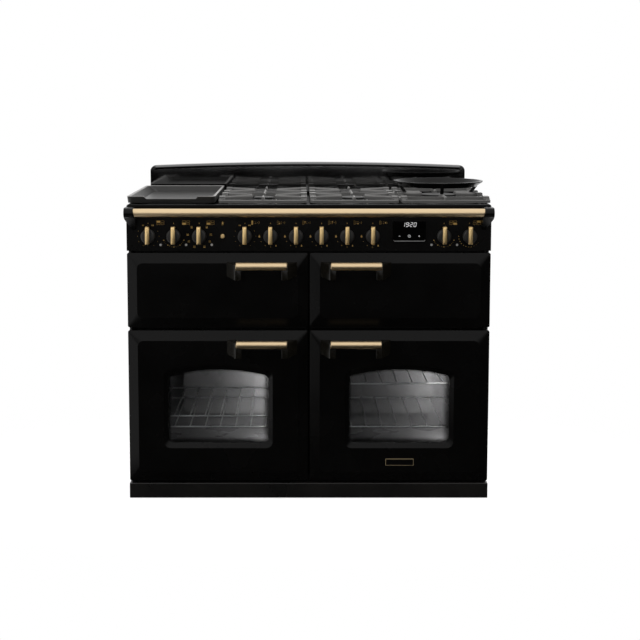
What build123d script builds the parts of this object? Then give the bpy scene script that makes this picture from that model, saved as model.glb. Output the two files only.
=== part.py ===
from build123d import *
import os

os.makedirs("parts", exist_ok=True)

# Driving dimensions of the cooker, in mm
overall_width = 1092.0
hob_height = 901.0
carcass_depth = 560.0
plinth_height = 48.0
lower_door_height = 465.0
upper_door_height = 226.0
sheet = 1.5
hob_sheet = 2.0
rest_gap = 0.3
cut_past = 5.0

# Doors
door_split = 6.0
door_seal_gap = 5.0
door_edge = 32.0
door_corner = 5.0
bevel_rise = 10.0
bevel_width = 30.0
field_radius = 18.0
door_reveal = 6.0
mid_reveal = 10.0
panel_reveal = 7.0
hinge_inset = 12.0
hinge_depth = 22.0
pin_radius = 4.0
pin_clearance = 0.08
pin_length = 13.0
leaf_thickness = 3.0
leaf_width = 16.0

# Windows of the lower doors
recess_width = 330.0
recess_height = 257.0
recess_radius = 20.0
glass_width = 305.0
glass_height = 227.0
arch_rise = 20.0
window_radius = 17.0
recess_depth = 8.0
surround_depth = 14.0
surround_wall = 4.0
pane_thickness = 4.0
pane_lap = 9.0
inner_pane_lap = 25.0
inner_pane_radius = 12.0

# Handles and hand rail
handle_length = 152.0
handle_radius = 12.0
handle_edge = 1.5
handle_reach = 42.0
handle_inset = 141.0
handle_drop = 34.0
seat_clearance = 0.1
rail_radius = 12.5
rail_reach = 45.0
rail_drop = 21.0
rail_socket = 8.0

# Control panel
panel_setback = 40.0
panel_return = 30.0
knob_pitch = 76.5
knob_height = 806.0
outer_knob = 481.0
disc_radius = 21.5
disc_depth = 14.0
disc_edge = 2.0
knob_gap = 2.0
grip_width = 14.0
grip_length = 54.0
grip_depth = 19.0
grip_rise = 4.0
grip_taper = 4.0
spindle_radius = 4.0
spindle_gap = 1.0
spindle_length = 38.0
button_x = -258.0
button_radius = 6.5
display_x = 300.5
display_z = 820.0
display_width = 98.0
display_height = 62.0
lamp_radius = 3.5
lamp_drop = 26.0
lamp_offset = 37.0

# Oven openings
opening_width = 442.0
opening_radius = 6.0
centre_post = 104.0
cavity_depth = 450.0
lower_floor = 96.0
lower_opening = 382.0
upper_floor = 560.0
upper_opening = 165.0
flange = 20.0
seal_width = 12.0
seal_lead = 2.0

# Hob
lip_height = 13.0
well_depth = 9.0
hob_rim = 20.0
hob_overhang = 4.0
upstand_depth = 35.0
upstand_height = 99.0
upstand_camber = 12.0
upstand_inset = 5.0
module_width = 268.0
module_pitch = 278.0
module_length = 480.0
module_setback = 5.0
support_top = 919.0
burner_spacing = 240.0
griddle_rim = 922.0
wok_radius = 143.0
wok_top = 955.0

# Places worked out from the driving dimensions
half_width = overall_width / 2
front_reach = door_seal_gap + door_edge + bevel_rise + handle_reach + handle_radius
frame_y = front_reach - (front_reach + carcass_depth) / 2
frame_back = frame_y + hob_sheet
back_y = frame_y + carcass_depth
rear_recess = 32.0
rear_sheet_y = back_y - rear_recess
door_back = frame_y - door_seal_gap
door_edge_y = door_back - door_edge
field_y = door_edge_y - bevel_rise
hinge_y = door_back - hinge_depth
hinge_x = half_width - hinge_inset
panel_y = frame_y - panel_setback
door_width = half_width - door_split / 2
door_x = half_width - door_width / 2
lower_z = plinth_height + door_reveal
lower_top = lower_z + lower_door_height
upper_z = lower_top + mid_reveal
upper_top = upper_z + upper_door_height
panel_z = upper_top + panel_reveal
lip_z = hob_height - lip_height
well_z = hob_height - well_depth
opening_x = centre_post / 2 + opening_width / 2
inner_width = half_width - sheet
upstand_y = back_y - upstand_depth
module_y = frame_y + module_setback + module_length / 2
module_x = [-1.5 * module_pitch, -0.5 * module_pitch, 0.5 * module_pitch, 1.5 * module_pitch]
front_burner_y = module_y - burner_spacing / 2
rear_burner_y = module_y + burner_spacing / 2


def front_plane(y):
    """Plane facing the viewer at depth y, with X across and Z up."""
    return Plane.XZ.offset(-y)


def level(z):
    """Level plane at height z."""
    return Plane.XY.offset(z)


def side_plane(x):
    """Plane facing +X at x, with Y across and Z up."""
    return Plane.YZ.offset(x)


def block(x0, x1, y0, y1, z0, z1, mode=Mode.ADD):
    """Square block between two corners, in the part being built."""
    with Locations(((x0 + x1) / 2, (y0 + y1) / 2, (z0 + z1) / 2)):
        Box(abs(x1 - x0), abs(y1 - y0), abs(z1 - z0), mode=mode)


def rod_x(x0, x1, y, z, radius, mode=Mode.ADD):
    """Round rod along X."""
    with Locations(((x0 + x1) / 2, y, z)):
        Cylinder(radius, abs(x1 - x0), rotation=(0, 90, 0), mode=mode)


def rod_y(x, y0, y1, z, radius, mode=Mode.ADD):
    """Round rod along Y."""
    with Locations((x, (y0 + y1) / 2, z)):
        Cylinder(radius, y1 - y0, rotation=(90, 0, 0), mode=mode)


def rod_z(x, y, z0, z1, radius, mode=Mode.ADD):
    """Upright round rod."""
    with Locations((x, y, (z0 + z1) / 2)):
        Cylinder(radius, z1 - z0, mode=mode)


def rounded_face(plane, place, width, height, radius):
    """Sketch of a rounded rectangle about a place on a plane."""
    with BuildSketch(plane) as face:
        with Locations(place):
            RectangleRounded(width, height, radius)
    return face.sketch


def arched(width, height, radius):
    """Window outline about its middle: straight foot and sides, arched top, rounded corners."""
    foot = -height / 2
    shoulder = height / 2 - arch_rise
    with BuildSketch() as outline:
        with BuildLine():
            Polyline((-width / 2, shoulder), (-width / 2, foot), (width / 2, foot), (width / 2, shoulder))
            ThreePointArc((width / 2, shoulder), (0, height / 2), (-width / 2, shoulder))
        make_face()
        fillet(outline.vertices(), radius)
    return outline.sketch


def arched_face(plane, place, width, height, radius):
    """Sketch of a window outline about a place on a plane."""
    with BuildSketch(plane) as face:
        with Locations(place):
            add(arched(width, height, radius))
    return face.sketch


def save(builder, name):
    """Label a sub-part and write its file."""
    builder.part.label = name
    export_step(builder.part, f"parts/{name}.step")


# Side panels: bent sheet with a return flange at the back
panel_foot = 20.0
back_return = 22.0
with BuildPart() as side_panels:
    for side in (-1, 1):
        block(side * half_width, side * inner_width, frame_y, back_y, panel_foot, lip_z)
        block(side * half_width, side * (half_width - back_return), back_y - sheet, back_y, panel_foot, lip_z)
save(side_panels, "side_panels")

# Base pan: tray between the side panels
base_z = 36.0
tray_wall = 20.0
with BuildPart() as base_pan:
    block(-inner_width, inner_width, frame_back, rear_sheet_y, base_z, base_z + tray_wall)
    block(-inner_width + sheet, inner_width - sheet, frame_back + sheet, rear_sheet_y - sheet,
          base_z + sheet, base_z + tray_wall, mode=Mode.SUBTRACT)
save(base_pan, "base_pan")

# Levelling feet: pad, stem and lock nut under each corner
foot_inset = 70.0
pad_radius = 20.0
pad_height = 7.0
stem_radius = 6.0
nut_radius = 12.0
nut_height = 8.0
with BuildPart() as levelling_feet:
    for x in (-half_width + foot_inset, half_width - foot_inset):
        for y in (frame_back + foot_inset, rear_sheet_y - foot_inset):
            rod_z(x, y, 0, pad_height, pad_radius)
            rod_z(x, y, pad_height, base_z, stem_radius)
            with BuildSketch(level(base_z - nut_height)):
                with Locations((x, y)):
                    RegularPolygon(nut_radius, 6)
            extrude(amount=nut_height)
save(levelling_feet, "levelling_feet")

# Plinth: front sheet with top return and two end returns that lap the front frame
plinth_lift = 3.0
plinth_return = 24.0
plinth_tab = 30.0
plinth_edge = 1.0
with BuildPart() as plinth:
    block(-half_width, half_width, field_y, frame_y, plinth_lift, plinth_height)
    block(-half_width + sheet, half_width - sheet, field_y + sheet, frame_y, plinth_lift,
          plinth_height - sheet, mode=Mode.SUBTRACT)
    block(-half_width + sheet, half_width - sheet, field_y + plinth_return, frame_y, plinth_lift,
          plinth_height, mode=Mode.SUBTRACT)
    for side in (-1, 1):
        block(side * (half_width - plinth_tab), side * half_width, frame_y - sheet, frame_y, plinth_lift,
              plinth_height)
    top_edge = plinth.edges().filter_by(Axis.X).group_by(Axis.Y)[0].sort_by(Axis.Z)[-1]
    chamfer(top_edge, plinth_edge)
save(plinth, "plinth")

# Front frame: plate with four oven openings
openings = [
    (-opening_x, lower_floor + lower_opening / 2, lower_opening),
    (opening_x, lower_floor + lower_opening / 2, lower_opening),
    (-opening_x, upper_floor + upper_opening / 2, upper_opening),
    (opening_x, upper_floor + upper_opening / 2, upper_opening),
]
with BuildPart() as front_frame:
    block(-inner_width, inner_width, frame_y, frame_back, panel_foot, panel_z)
    for x, z, height in openings:
        extrude(rounded_face(front_plane(frame_back), (x, z), opening_width, height, opening_radius),
                amount=frame_back - frame_y, mode=Mode.SUBTRACT)
save(front_frame, "front_frame")

# Oven liners: enamelled boxes, open at the front, hung by a flange behind the frame
shaft_hole = 6.0
liner_back = frame_back + cavity_depth
for name, group in (("lower_oven_liners", openings[:2]), ("upper_oven_liners", openings[2:])):
    with BuildPart() as liners:
        for x, z, height in group:
            extrude(rounded_face(front_plane(liner_back), (x, z), opening_width + 2 * sheet,
                                 height + 2 * sheet, opening_radius + sheet),
                    amount=cavity_depth)
            extrude(rounded_face(front_plane(frame_back + sheet), (x, z), opening_width + 2 * flange,
                                 height + 2 * flange, opening_radius),
                    amount=sheet)
        for x, z, height in group:
            extrude(rounded_face(front_plane(liner_back - sheet), (x, z), opening_width, height,
                                 opening_radius),
                    amount=cavity_depth - sheet, mode=Mode.SUBTRACT)
            if height == lower_opening:
                rod_y(x, liner_back - cut_past, liner_back + cut_past, z, shaft_hole, mode=Mode.SUBTRACT)
    save(liners, name)

# Door seals: one ring round each opening
seal_outer = 2 * seal_width + 2 * seal_lead
with BuildPart() as door_seals:
    for x, z, height in openings:
        with BuildSketch(front_plane(frame_y)):
            with Locations((x, z)):
                RectangleRounded(opening_width + seal_outer, height + seal_outer, opening_radius + seal_width)
                RectangleRounded(opening_width + 2 * seal_lead, height + 2 * seal_lead, opening_radius,
                                 mode=Mode.SUBTRACT)
        extrude(amount=door_seal_gap - rest_gap)
save(door_seals, "door_seals")

# Door hinges: welded leaves with pins that point into the doors
leaf_levels = [
    (plinth_height + door_reveal / 2, True, False),
    (lower_top + mid_reveal / 2, True, True),
    (upper_top + panel_reveal / 2, False, True),
]
with BuildPart() as door_hinges:
    for side in (-1, 1):
        for z, pin_up, pin_down in leaf_levels:
            with BuildSketch(level(z - leaf_thickness / 2)):
                with Locations((side * hinge_x, (hinge_y + frame_y) / 2)):
                    Rectangle(leaf_width, frame_y - hinge_y)
                with Locations((side * hinge_x, hinge_y)):
                    Circle(leaf_width / 2)
            extrude(amount=leaf_thickness)
            if pin_up:
                rod_z(side * hinge_x, hinge_y, z, z + pin_length, pin_radius)
            if pin_down:
                rod_z(side * hinge_x, hinge_y, z - pin_length, z, pin_radius)
save(door_hinges, "door_hinges")

# Doors: pressed front with handle brackets, inner panel, glass and handle
boss_radius = 8.0
boss_height = 16.0
dish_margin = 52.0
dish_depth = 6.0
dish_radius = 20.0
window_gap = 5.0
arm_foot_out = 105.0
arm_foot_in = 76.0
arm_head_out = 79.0
arm_head_in = 60.0
arm_top = 7.0
arm_fall = 3.0
arm_foot = -36.0
arm_toe = -42.0
doors = [
    ("left_oven_door", -1, lower_z, lower_door_height, True),
    ("right_oven_door", 1, lower_z, lower_door_height, True),
    ("grill_door", -1, upper_z, upper_door_height, False),
    ("slow_oven_door", 1, upper_z, upper_door_height, False),
]
inner_corner = door_corner - sheet
for name, side, door_z, height, glazed in doors:
    middle = (side * door_x, door_z + height / 2)
    handle_x = side * handle_inset
    handle_z = door_z + height - handle_drop
    handle_y = field_y - handle_reach
    inside_width = door_width - 2 * sheet
    inside_height = height - 2 * sheet
    field_width = door_width - 2 * bevel_width
    field_height = height - 2 * bevel_width

    with BuildPart() as door_panel:
        extrude(rounded_face(front_plane(door_back), middle, door_width, height, door_corner),
                amount=door_edge)
        loft([rounded_face(front_plane(door_edge_y), middle, door_width, height, door_corner),
              rounded_face(front_plane(field_y), middle, field_width, field_height, field_radius)],
             ruled=True)
        extrude(rounded_face(front_plane(door_back), middle, inside_width, inside_height, inner_corner),
                amount=door_edge, mode=Mode.SUBTRACT)
        loft([rounded_face(front_plane(door_edge_y), middle, inside_width, inside_height, inner_corner),
              rounded_face(front_plane(field_y + sheet), middle, field_width - sheet, field_height - sheet,
                           field_radius)], ruled=True, mode=Mode.SUBTRACT)
        for z0, z1 in ((door_z, door_z + boss_height), (door_z + height - boss_height, door_z + height)):
            rod_z(side * hinge_x, hinge_y, z0, z1, boss_radius)
            rod_z(side * hinge_x, hinge_y, z0, z1, pin_radius + pin_clearance, mode=Mode.SUBTRACT)
        if glazed:
            extrude(arched_face(front_plane(field_y + surround_depth), middle,
                                recess_width + 2 * surround_wall, recess_height + 2 * surround_wall,
                                recess_radius + 1),
                    amount=surround_depth)
            loft([arched_face(front_plane(field_y), middle, recess_width, recess_height, recess_radius),
                  arched_face(front_plane(field_y + recess_depth), middle, glass_width, glass_height,
                              window_radius)], ruled=True, mode=Mode.SUBTRACT)
            extrude(arched_face(front_plane(field_y + surround_depth), middle, glass_width, glass_height,
                                window_radius),
                    amount=surround_depth, mode=Mode.SUBTRACT)
        for end in (-1, 1):
            with BuildPart(mode=Mode.PRIVATE) as bracket:
                with BuildSketch(level(handle_z + arm_toe)):
                    with BuildLine():
                        Polyline((handle_x + end * arm_foot_out, field_y),
                                 (handle_x + end * arm_head_out, handle_y),
                                 (handle_x + end * arm_head_in, handle_y),
                                 (handle_x + end * arm_foot_in, field_y), close=True)
                    make_face()
                extrude(amount=arm_top - arm_toe)
                with BuildSketch(side_plane(handle_x + end * arm_foot_out)):
                    with BuildLine():
                        Polyline((field_y, handle_z + arm_top), (field_y, handle_z + arm_foot),
                                 (handle_y, handle_z + arm_toe), (handle_y, handle_z + arm_top - arm_fall),
                                 close=True)
                    make_face()
                extrude(amount=-end * (arm_foot_out - arm_head_in), mode=Mode.INTERSECT)
                rod_x(handle_x - handle_length / 2 - rest_gap, handle_x + handle_length / 2 + rest_gap,
                      handle_y, handle_z, handle_radius + seat_clearance, mode=Mode.SUBTRACT)
            add(bracket.part)
    save(door_panel, f"{name}_panel")

    with BuildPart() as door_liner:
        extrude(rounded_face(front_plane(door_back), middle, inside_width - 2 * rest_gap,
                             inside_height - 2 * rest_gap, inner_corner),
                amount=sheet)
        dish_width = door_width - 2 * dish_margin
        dish_height = height - 2 * dish_margin
        extrude(rounded_face(front_plane(door_back - sheet), middle, dish_width, dish_height, dish_radius),
                amount=dish_depth)
        extrude(rounded_face(front_plane(door_back), middle, dish_width - 2 * sheet, dish_height - 2 * sheet,
                             dish_radius - sheet),
                amount=dish_depth, mode=Mode.SUBTRACT)
        if glazed:
            extrude(rounded_face(front_plane(door_back), middle, glass_width + 2 * window_gap,
                                 glass_height + 2 * window_gap, dish_radius),
                    amount=2 * dish_depth, mode=Mode.SUBTRACT)
    save(door_liner, f"{name}_liner")

    if glazed:
        with BuildPart() as door_glass:
            extrude(arched_face(front_plane(field_y + surround_depth + pane_thickness), middle,
                                glass_width + 2 * pane_lap, glass_height + 2 * pane_lap, window_radius),
                    amount=pane_thickness)
            extrude(rounded_face(front_plane(door_back - sheet - dish_depth), middle,
                                 glass_width + 2 * inner_pane_lap, glass_height + 2 * inner_pane_lap,
                                 inner_pane_radius),
                    amount=pane_thickness)
        save(door_glass, f"{name}_glass")

    with BuildPart() as door_handle:
        rod_x(handle_x - handle_length / 2, handle_x + handle_length / 2, handle_y, handle_z, handle_radius)
        chamfer(door_handle.edges().filter_by(GeomType.CIRCLE), handle_edge)
    save(door_handle, f"{name}_handle")

# Control panel: folded sheet, pierced for spindles, lamps, button and display, with the rail brackets
rail_y = panel_y - rail_reach
rail_z = hob_height - rail_drop
display_lap = 4.0
hook_width = 26.0
hook_root = 36.0
hook_rise = 15.0
hook_nose = 15.5
hook_lean = 4.0
hook_drop = 56.0
hook_crown = 20.0
hook_cheek = 18.0
hook_throat = 22.0
hook_waist = 6.0
hook_toe_out = 16.0
hook_toe_in = 28.0
hook_round = 4.0
hook_foot = rail_z - hook_drop
knob_places = [
    ("knob_grill", -outer_knob),
    ("knob_left_oven_heat", -outer_knob + knob_pitch),
    ("knob_left_oven_function", -outer_knob + 2 * knob_pitch),
    ("knob_griddle_zone", -2.5 * knob_pitch),
    ("knob_burner_left_front", -1.5 * knob_pitch),
    ("knob_burner_left_rear", -0.5 * knob_pitch),
    ("knob_burner_centre_rear", 0.5 * knob_pitch),
    ("knob_burner_centre_front", 1.5 * knob_pitch),
    ("knob_burner_wok", 2.5 * knob_pitch),
    ("knob_right_oven", outer_knob - knob_pitch),
    ("knob_slow_oven", outer_knob),
]
lamp_places = [-outer_knob + lamp_offset, -outer_knob + knob_pitch + lamp_offset,
               -outer_knob + 2 * knob_pitch + lamp_offset,
               outer_knob - knob_pitch - lamp_offset, outer_knob - lamp_offset]
lamp_z = knob_height - lamp_drop
pierce_y0 = panel_y - cut_past
pierce_y1 = panel_y + sheet + cut_past
with BuildPart() as control_panel:
    block(-half_width, half_width, panel_y, frame_y, panel_z, lip_z)
    block(-half_width + sheet, half_width - sheet, panel_y + sheet, frame_y, panel_z + sheet,
          lip_z - sheet, mode=Mode.SUBTRACT)
    block(-half_width + sheet, half_width - sheet, panel_y + panel_return, frame_y, lip_z - sheet, lip_z,
          mode=Mode.SUBTRACT)
    for name, x in knob_places:
        rod_y(x, pierce_y0, pierce_y1, knob_height, spindle_radius + spindle_gap, mode=Mode.SUBTRACT)
    for x in lamp_places:
        rod_y(x, pierce_y0, pierce_y1, lamp_z, lamp_radius + rest_gap, mode=Mode.SUBTRACT)
    rod_y(button_x, pierce_y0, pierce_y1, knob_height, button_radius + rest_gap, mode=Mode.SUBTRACT)
    with Locations((display_x, panel_y, display_z)):
        Box(display_width - 2 * display_lap, 2 * cut_past, display_height - 2 * display_lap,
            mode=Mode.SUBTRACT)
    for side in (-1, 1):
        with BuildPart(mode=Mode.PRIVATE) as rail_bracket:
            with BuildSketch(side_plane(side * half_width)):
                with BuildLine():
                    Polyline((panel_y, rail_z + hook_rise), (rail_y, rail_z + hook_rise))
                    ThreePointArc((rail_y, rail_z + hook_rise), (rail_y - hook_nose, rail_z),
                                  (rail_y - hook_lean, rail_z - hook_rise))
                    Polyline((rail_y - hook_lean, rail_z - hook_rise), (panel_y, hook_foot),
                             (panel_y, rail_z + hook_rise))
                make_face()
            extrude(amount=-side * hook_root)
            with BuildSketch(front_plane(panel_y)) as face:
                with BuildLine():
                    Polyline((side * half_width, rail_z + hook_crown),
                             (side * half_width, rail_z - hook_cheek),
                             (side * (half_width - hook_toe_out), hook_foot + 2),
                             (side * (half_width - hook_toe_in), hook_foot),
                             (side * (half_width - hook_width - hook_waist), rail_z - hook_throat),
                             (side * (half_width - hook_width), rail_z + hook_crown), close=True)
                make_face()
                fillet(face.vertices().group_by(Axis.Z)[0], hook_round)
            extrude(amount=rail_reach + hook_crown, mode=Mode.INTERSECT)
            block(side * (half_width - 2 * hook_root), side * (half_width + cut_past),
                  panel_y - hob_overhang - rest_gap, panel_y, lip_z - rest_gap, hob_height,
                  mode=Mode.SUBTRACT)
            rod_x(side * (half_width - hook_width + rail_socket), side * (half_width - 2 * hook_root), rail_y,
                  rail_z, rail_radius + seat_clearance, mode=Mode.SUBTRACT)
        add(rail_bracket.part)
save(control_panel, "control_panel")

# Hand rail: brass bar held in the two end brackets
rail_half = half_width - hook_width + rail_socket - rest_gap
with BuildPart() as hand_rail:
    rod_x(-rail_half, rail_half, rail_y, rail_z, rail_radius)
save(hand_rail, "hand_rail")

# Clock display: glass with a lower lip and the module behind the panel
display_proud = 3.0
display_corner = 2.5
display_lip = 4.0
display_lip_depth = 2.0
module_depth = 28.0
module_inset = display_lap + 1.0
with BuildPart() as clock_display:
    extrude(rounded_face(front_plane(panel_y), (display_x, display_z), display_width, display_height,
                         display_corner),
            amount=display_proud)
    lip_bottom = display_z - display_height / 2
    lip_half = display_width / 2 - display_lip_depth
    block(display_x - lip_half, display_x + lip_half, panel_y - display_proud - display_lip_depth,
          panel_y - display_proud, lip_bottom, lip_bottom + display_lip)
    with Locations((display_x, panel_y + module_depth / 2, display_z)):
        Box(display_width - 2 * module_inset, module_depth, display_height - 2 * module_inset)
save(clock_display, "clock_display")

# Indicator lamps: small lenses with a body behind the panel
lens_proud = 1.5
lamp_body_radius = 5.5
lamp_body_depth = 20.0
with BuildPart() as indicator_lamps:
    for x in lamp_places:
        rod_y(x, panel_y - lens_proud, panel_y + sheet, lamp_z, lamp_radius)
        rod_y(x, panel_y + sheet, panel_y + lamp_body_depth, lamp_z, lamp_body_radius)
save(indicator_lamps, "indicator_lamps")

# Push button: cap on a stem that runs in a guide hole
button_proud = 7.0
button_sunk = 6.0
button_edge = 2.0
stem_end = 14.0
with BuildPart() as push_button:
    rod_y(button_x, panel_y - button_proud, panel_y + button_sunk, knob_height, button_radius)
    chamfer(push_button.edges().group_by(Axis.Y)[0], button_edge)
    rod_y(button_x, panel_y + button_sunk, panel_y + stem_end, knob_height, spindle_radius)
save(push_button, "push_button")

# Knobs: dark moulded disc on its spindle, with a brass bar grip on the front
disc_front = panel_y - knob_gap - disc_depth
for name, x in knob_places:
    with BuildPart() as disc:
        rod_y(x, disc_front, panel_y - knob_gap, knob_height, disc_radius)
        chamfer(disc.edges().group_by(Axis.Y)[0], disc_edge)
        rod_y(x, panel_y - knob_gap, panel_y - knob_gap + spindle_length, knob_height, spindle_radius)
    with BuildPart() as grip:
        extrude(rounded_face(front_plane(disc_front), (x, knob_height + grip_rise), grip_width, grip_length,
                             grip_width / 2 - 1),
                amount=grip_depth, taper=grip_taper)
    knob = Compound(label=name, children=[disc.part, grip.part])
    export_step(knob, f"parts/{name}.step")

# Gas taps and rotary switches: bodies behind the panel that take the knob spindles
switch_back = panel_y + 44.0
spindle_end = panel_y + 40.0
tap_front = panel_y + 14.0
tap_half = 13.0
tap_rise = 16.0
switch_front = panel_y + 12.0
switch_half = 20.0
neck_radius = 9.0
button_case = 14.0
guide_end = panel_y + 20.0
gas_knobs = knob_places[4:9]
switch_knobs = knob_places[:4] + knob_places[9:]
with BuildPart() as gas_taps:
    for name, x in gas_knobs:
        block(x - tap_half, x + tap_half, tap_front, switch_back, knob_height - tap_rise,
              knob_height + tap_rise)
        rod_y(x, panel_y + sheet, tap_front, knob_height, neck_radius)
        rod_y(x, panel_y + sheet, spindle_end, knob_height, spindle_radius + pin_clearance,
              mode=Mode.SUBTRACT)
save(gas_taps, "gas_taps")
with BuildPart() as rotary_switches:
    for name, x in switch_knobs:
        block(x - switch_half, x + switch_half, switch_front, switch_back, knob_height - switch_half,
              knob_height + switch_half)
        rod_y(x, panel_y + sheet, switch_front, knob_height, neck_radius)
        rod_y(x, panel_y + sheet, spindle_end, knob_height, spindle_radius + pin_clearance,
              mode=Mode.SUBTRACT)
    block(button_x - button_case, button_x + button_case, panel_y + sheet, switch_back,
          knob_height - button_case, knob_height + button_case)
    rod_y(button_x, panel_y + sheet, switch_front, knob_height, button_radius + rest_gap, mode=Mode.SUBTRACT)
    rod_y(button_x, switch_front - 2, guide_end, knob_height, spindle_radius + rest_gap, mode=Mode.SUBTRACT)
save(rotary_switches, "rotary_switches")

# Gas pipework: manifold behind the taps, inlet through the back and a feed tube to each burner
pipe_radius = 8.0
tube_radius = 4.0
tube_bend = 10.0
pipe_end = 30.0
manifold_y = switch_back + pipe_radius + rest_gap
inlet_x = half_width - 66.0
inlet_radius = 10.5
inlet_root = 4.0
tap_y = switch_back - 10.0
tap_top = knob_height + tap_rise + rest_gap
tube_z = knob_height + 34.0
cup_depth = 34.0
cup_z = well_z - cup_depth
burners = [
    (knob_places[4][1], module_x[1], front_burner_y, 30.0),
    (knob_places[5][1], module_x[1], rear_burner_y, 36.0),
    (knob_places[6][1], module_x[2], rear_burner_y, 30.0),
    (knob_places[7][1], module_x[2], front_burner_y, 36.0),
    (knob_places[8][1], module_x[3], module_y, 54.0),
]
with BuildPart() as gas_pipework:
    rod_x(knob_places[4][1] - pipe_end, inlet_x, manifold_y, knob_height, pipe_radius)
    with Locations((inlet_x, manifold_y, knob_height)):
        Sphere(pipe_radius)
    rod_y(inlet_x, manifold_y, back_y - 2 * inlet_root, knob_height, pipe_radius)
    rod_y(inlet_x, rear_sheet_y + inlet_root, back_y - inlet_root, knob_height, inlet_radius)
    for tap_x, x, y, radius in burners:
        with BuildLine() as route:
            FilletPolyline((tap_x, tap_y, tap_top), (tap_x, tap_y, tube_z), (tap_x, y, tube_z),
                           (x, y, tube_z), (x, y, cup_z - rest_gap), radius=tube_bend)
        with BuildSketch(level(tap_top)):
            with Locations((tap_x, tap_y)):
                Circle(tube_radius)
        sweep(path=route.wire())
save(gas_pipework, "gas_pipework")

# Back panel: sheet with louvre slots, a hole for the gas inlet and the mains terminal cover
slot_rows = 4
slot_columns = 6
slot_rise = 18.0
slot_pitch = 150.0
slot_length = 100.0
slot_height = 6.0
slot_middle = 717.0
inlet_gap = 3.0
terminal_x = -half_width + 190.0
terminal_z = 220.0
terminal_width = 100.0
terminal_height = 80.0
cover_wall = 2.0
cover_back = back_y - 6.0
with BuildPart() as back_panel:
    block(-inner_width, inner_width, rear_sheet_y, rear_sheet_y + sheet, base_z, lip_z)
    with Locations(front_plane(rear_sheet_y)):
        with Locations((0, slot_middle)):
            with GridLocations(slot_pitch, slot_rise, slot_columns, slot_rows):
                Box(slot_length, slot_height, 2 * cut_past, mode=Mode.SUBTRACT)
    rod_y(inlet_x, rear_sheet_y - cut_past, rear_sheet_y + cut_past, knob_height, inlet_radius + inlet_gap,
          mode=Mode.SUBTRACT)
    with Locations((terminal_x, (rear_sheet_y + sheet + cover_back) / 2, terminal_z)):
        Box(terminal_width, cover_back - rear_sheet_y - sheet, terminal_height)
    block(terminal_x - terminal_width / 2 + cover_wall, terminal_x + terminal_width / 2 - cover_wall,
          rear_sheet_y - cut_past, cover_back - cover_wall, terminal_z - terminal_height / 2 + cover_wall,
          terminal_z + terminal_height / 2 - cover_wall, mode=Mode.SUBTRACT)
save(back_panel, "back_panel")

# Hob tray: pressed sheet with a sunk well, pierced for the burners and the ceramic zone
hob_front = panel_y - hob_overhang
hob_corner = 10.0
hob_roll = 6.0
well_radius = 14.0
cup_inset = 6.0
zone_width = 180.0
zone_length = 430.0
zone_lap = 10.0
with BuildPart() as hob_tray:
    block(-half_width, half_width, hob_front, upstand_y, lip_z, hob_height)
    fillet(hob_tray.edges().filter_by(Axis.Z).group_by(Axis.Y)[0], hob_corner)
    extrude(rounded_face(level(hob_height), (0, (hob_front + upstand_y) / 2), overall_width - 2 * hob_rim,
                         upstand_y - hob_front - 2 * hob_rim, well_radius),
            amount=-well_depth, mode=Mode.SUBTRACT)
    front_edge = hob_tray.edges().filter_by(Axis.X).group_by(Axis.Z)[-1].sort_by(Axis.Y)[0]
    fillet(front_edge, hob_roll)
    offset(amount=-hob_sheet, openings=hob_tray.faces().sort_by(Axis.Z)[0])
    for tap_x, x, y, radius in burners:
        rod_z(x, y, lip_z - cut_past, hob_height, radius - cup_inset, mode=Mode.SUBTRACT)
    with Locations((module_x[0], module_y, lip_z)):
        Box(zone_width, zone_length, 2 * lip_height, mode=Mode.SUBTRACT)
save(hob_tray, "hob_tray")

# Ceramic zone: glass plate laid over its opening
zone_top = well_z + pane_thickness
with BuildPart() as ceramic_zone:
    with Locations((module_x[0], module_y, (well_z + zone_top) / 2)):
        Box(zone_width + 2 * zone_lap, zone_length + 2 * zone_lap, pane_thickness)
save(ceramic_zone, "ceramic_zone")

# Burner bodies: cup under the hob, flange on it and a slotted crown above
collar_height = 4.0
collar_lap = 4.0
crown_inset = 2.0
flame_slots = 12
flame_slot_length = 8.0
flame_slot_width = 3.0
flame_slot_depth = 4.0
cap_z = well_z + 14.0
with BuildPart() as burner_bodies:
    for tap_x, x, y, radius in burners:
        rod_z(x, y, cup_z, well_z, radius - cup_inset - rest_gap)
        rod_z(x, y, well_z, well_z + collar_height, radius + collar_lap)
        rod_z(x, y, well_z + collar_height, cap_z, radius - crown_inset)
    for tap_x, x, y, radius in burners:
        with Locations((x, y, cap_z - flame_slot_depth / 2)):
            with PolarLocations(radius - crown_inset - 1, flame_slots):
                Box(flame_slot_length, flame_slot_width, flame_slot_depth, mode=Mode.SUBTRACT)
save(burner_bodies, "burner_bodies")

# Burner caps: low enamelled domes
cap_height = 6.0
cap_round = 3.0
with BuildPart() as burner_caps:
    for tap_x, x, y, radius in burners:
        rod_z(x, y, cap_z, cap_z + cap_height, radius + 1)
    fillet(burner_caps.edges().filter_by(GeomType.CIRCLE).group_by(Axis.Z)[-1], cap_round)
save(burner_caps, "burner_caps")

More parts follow.
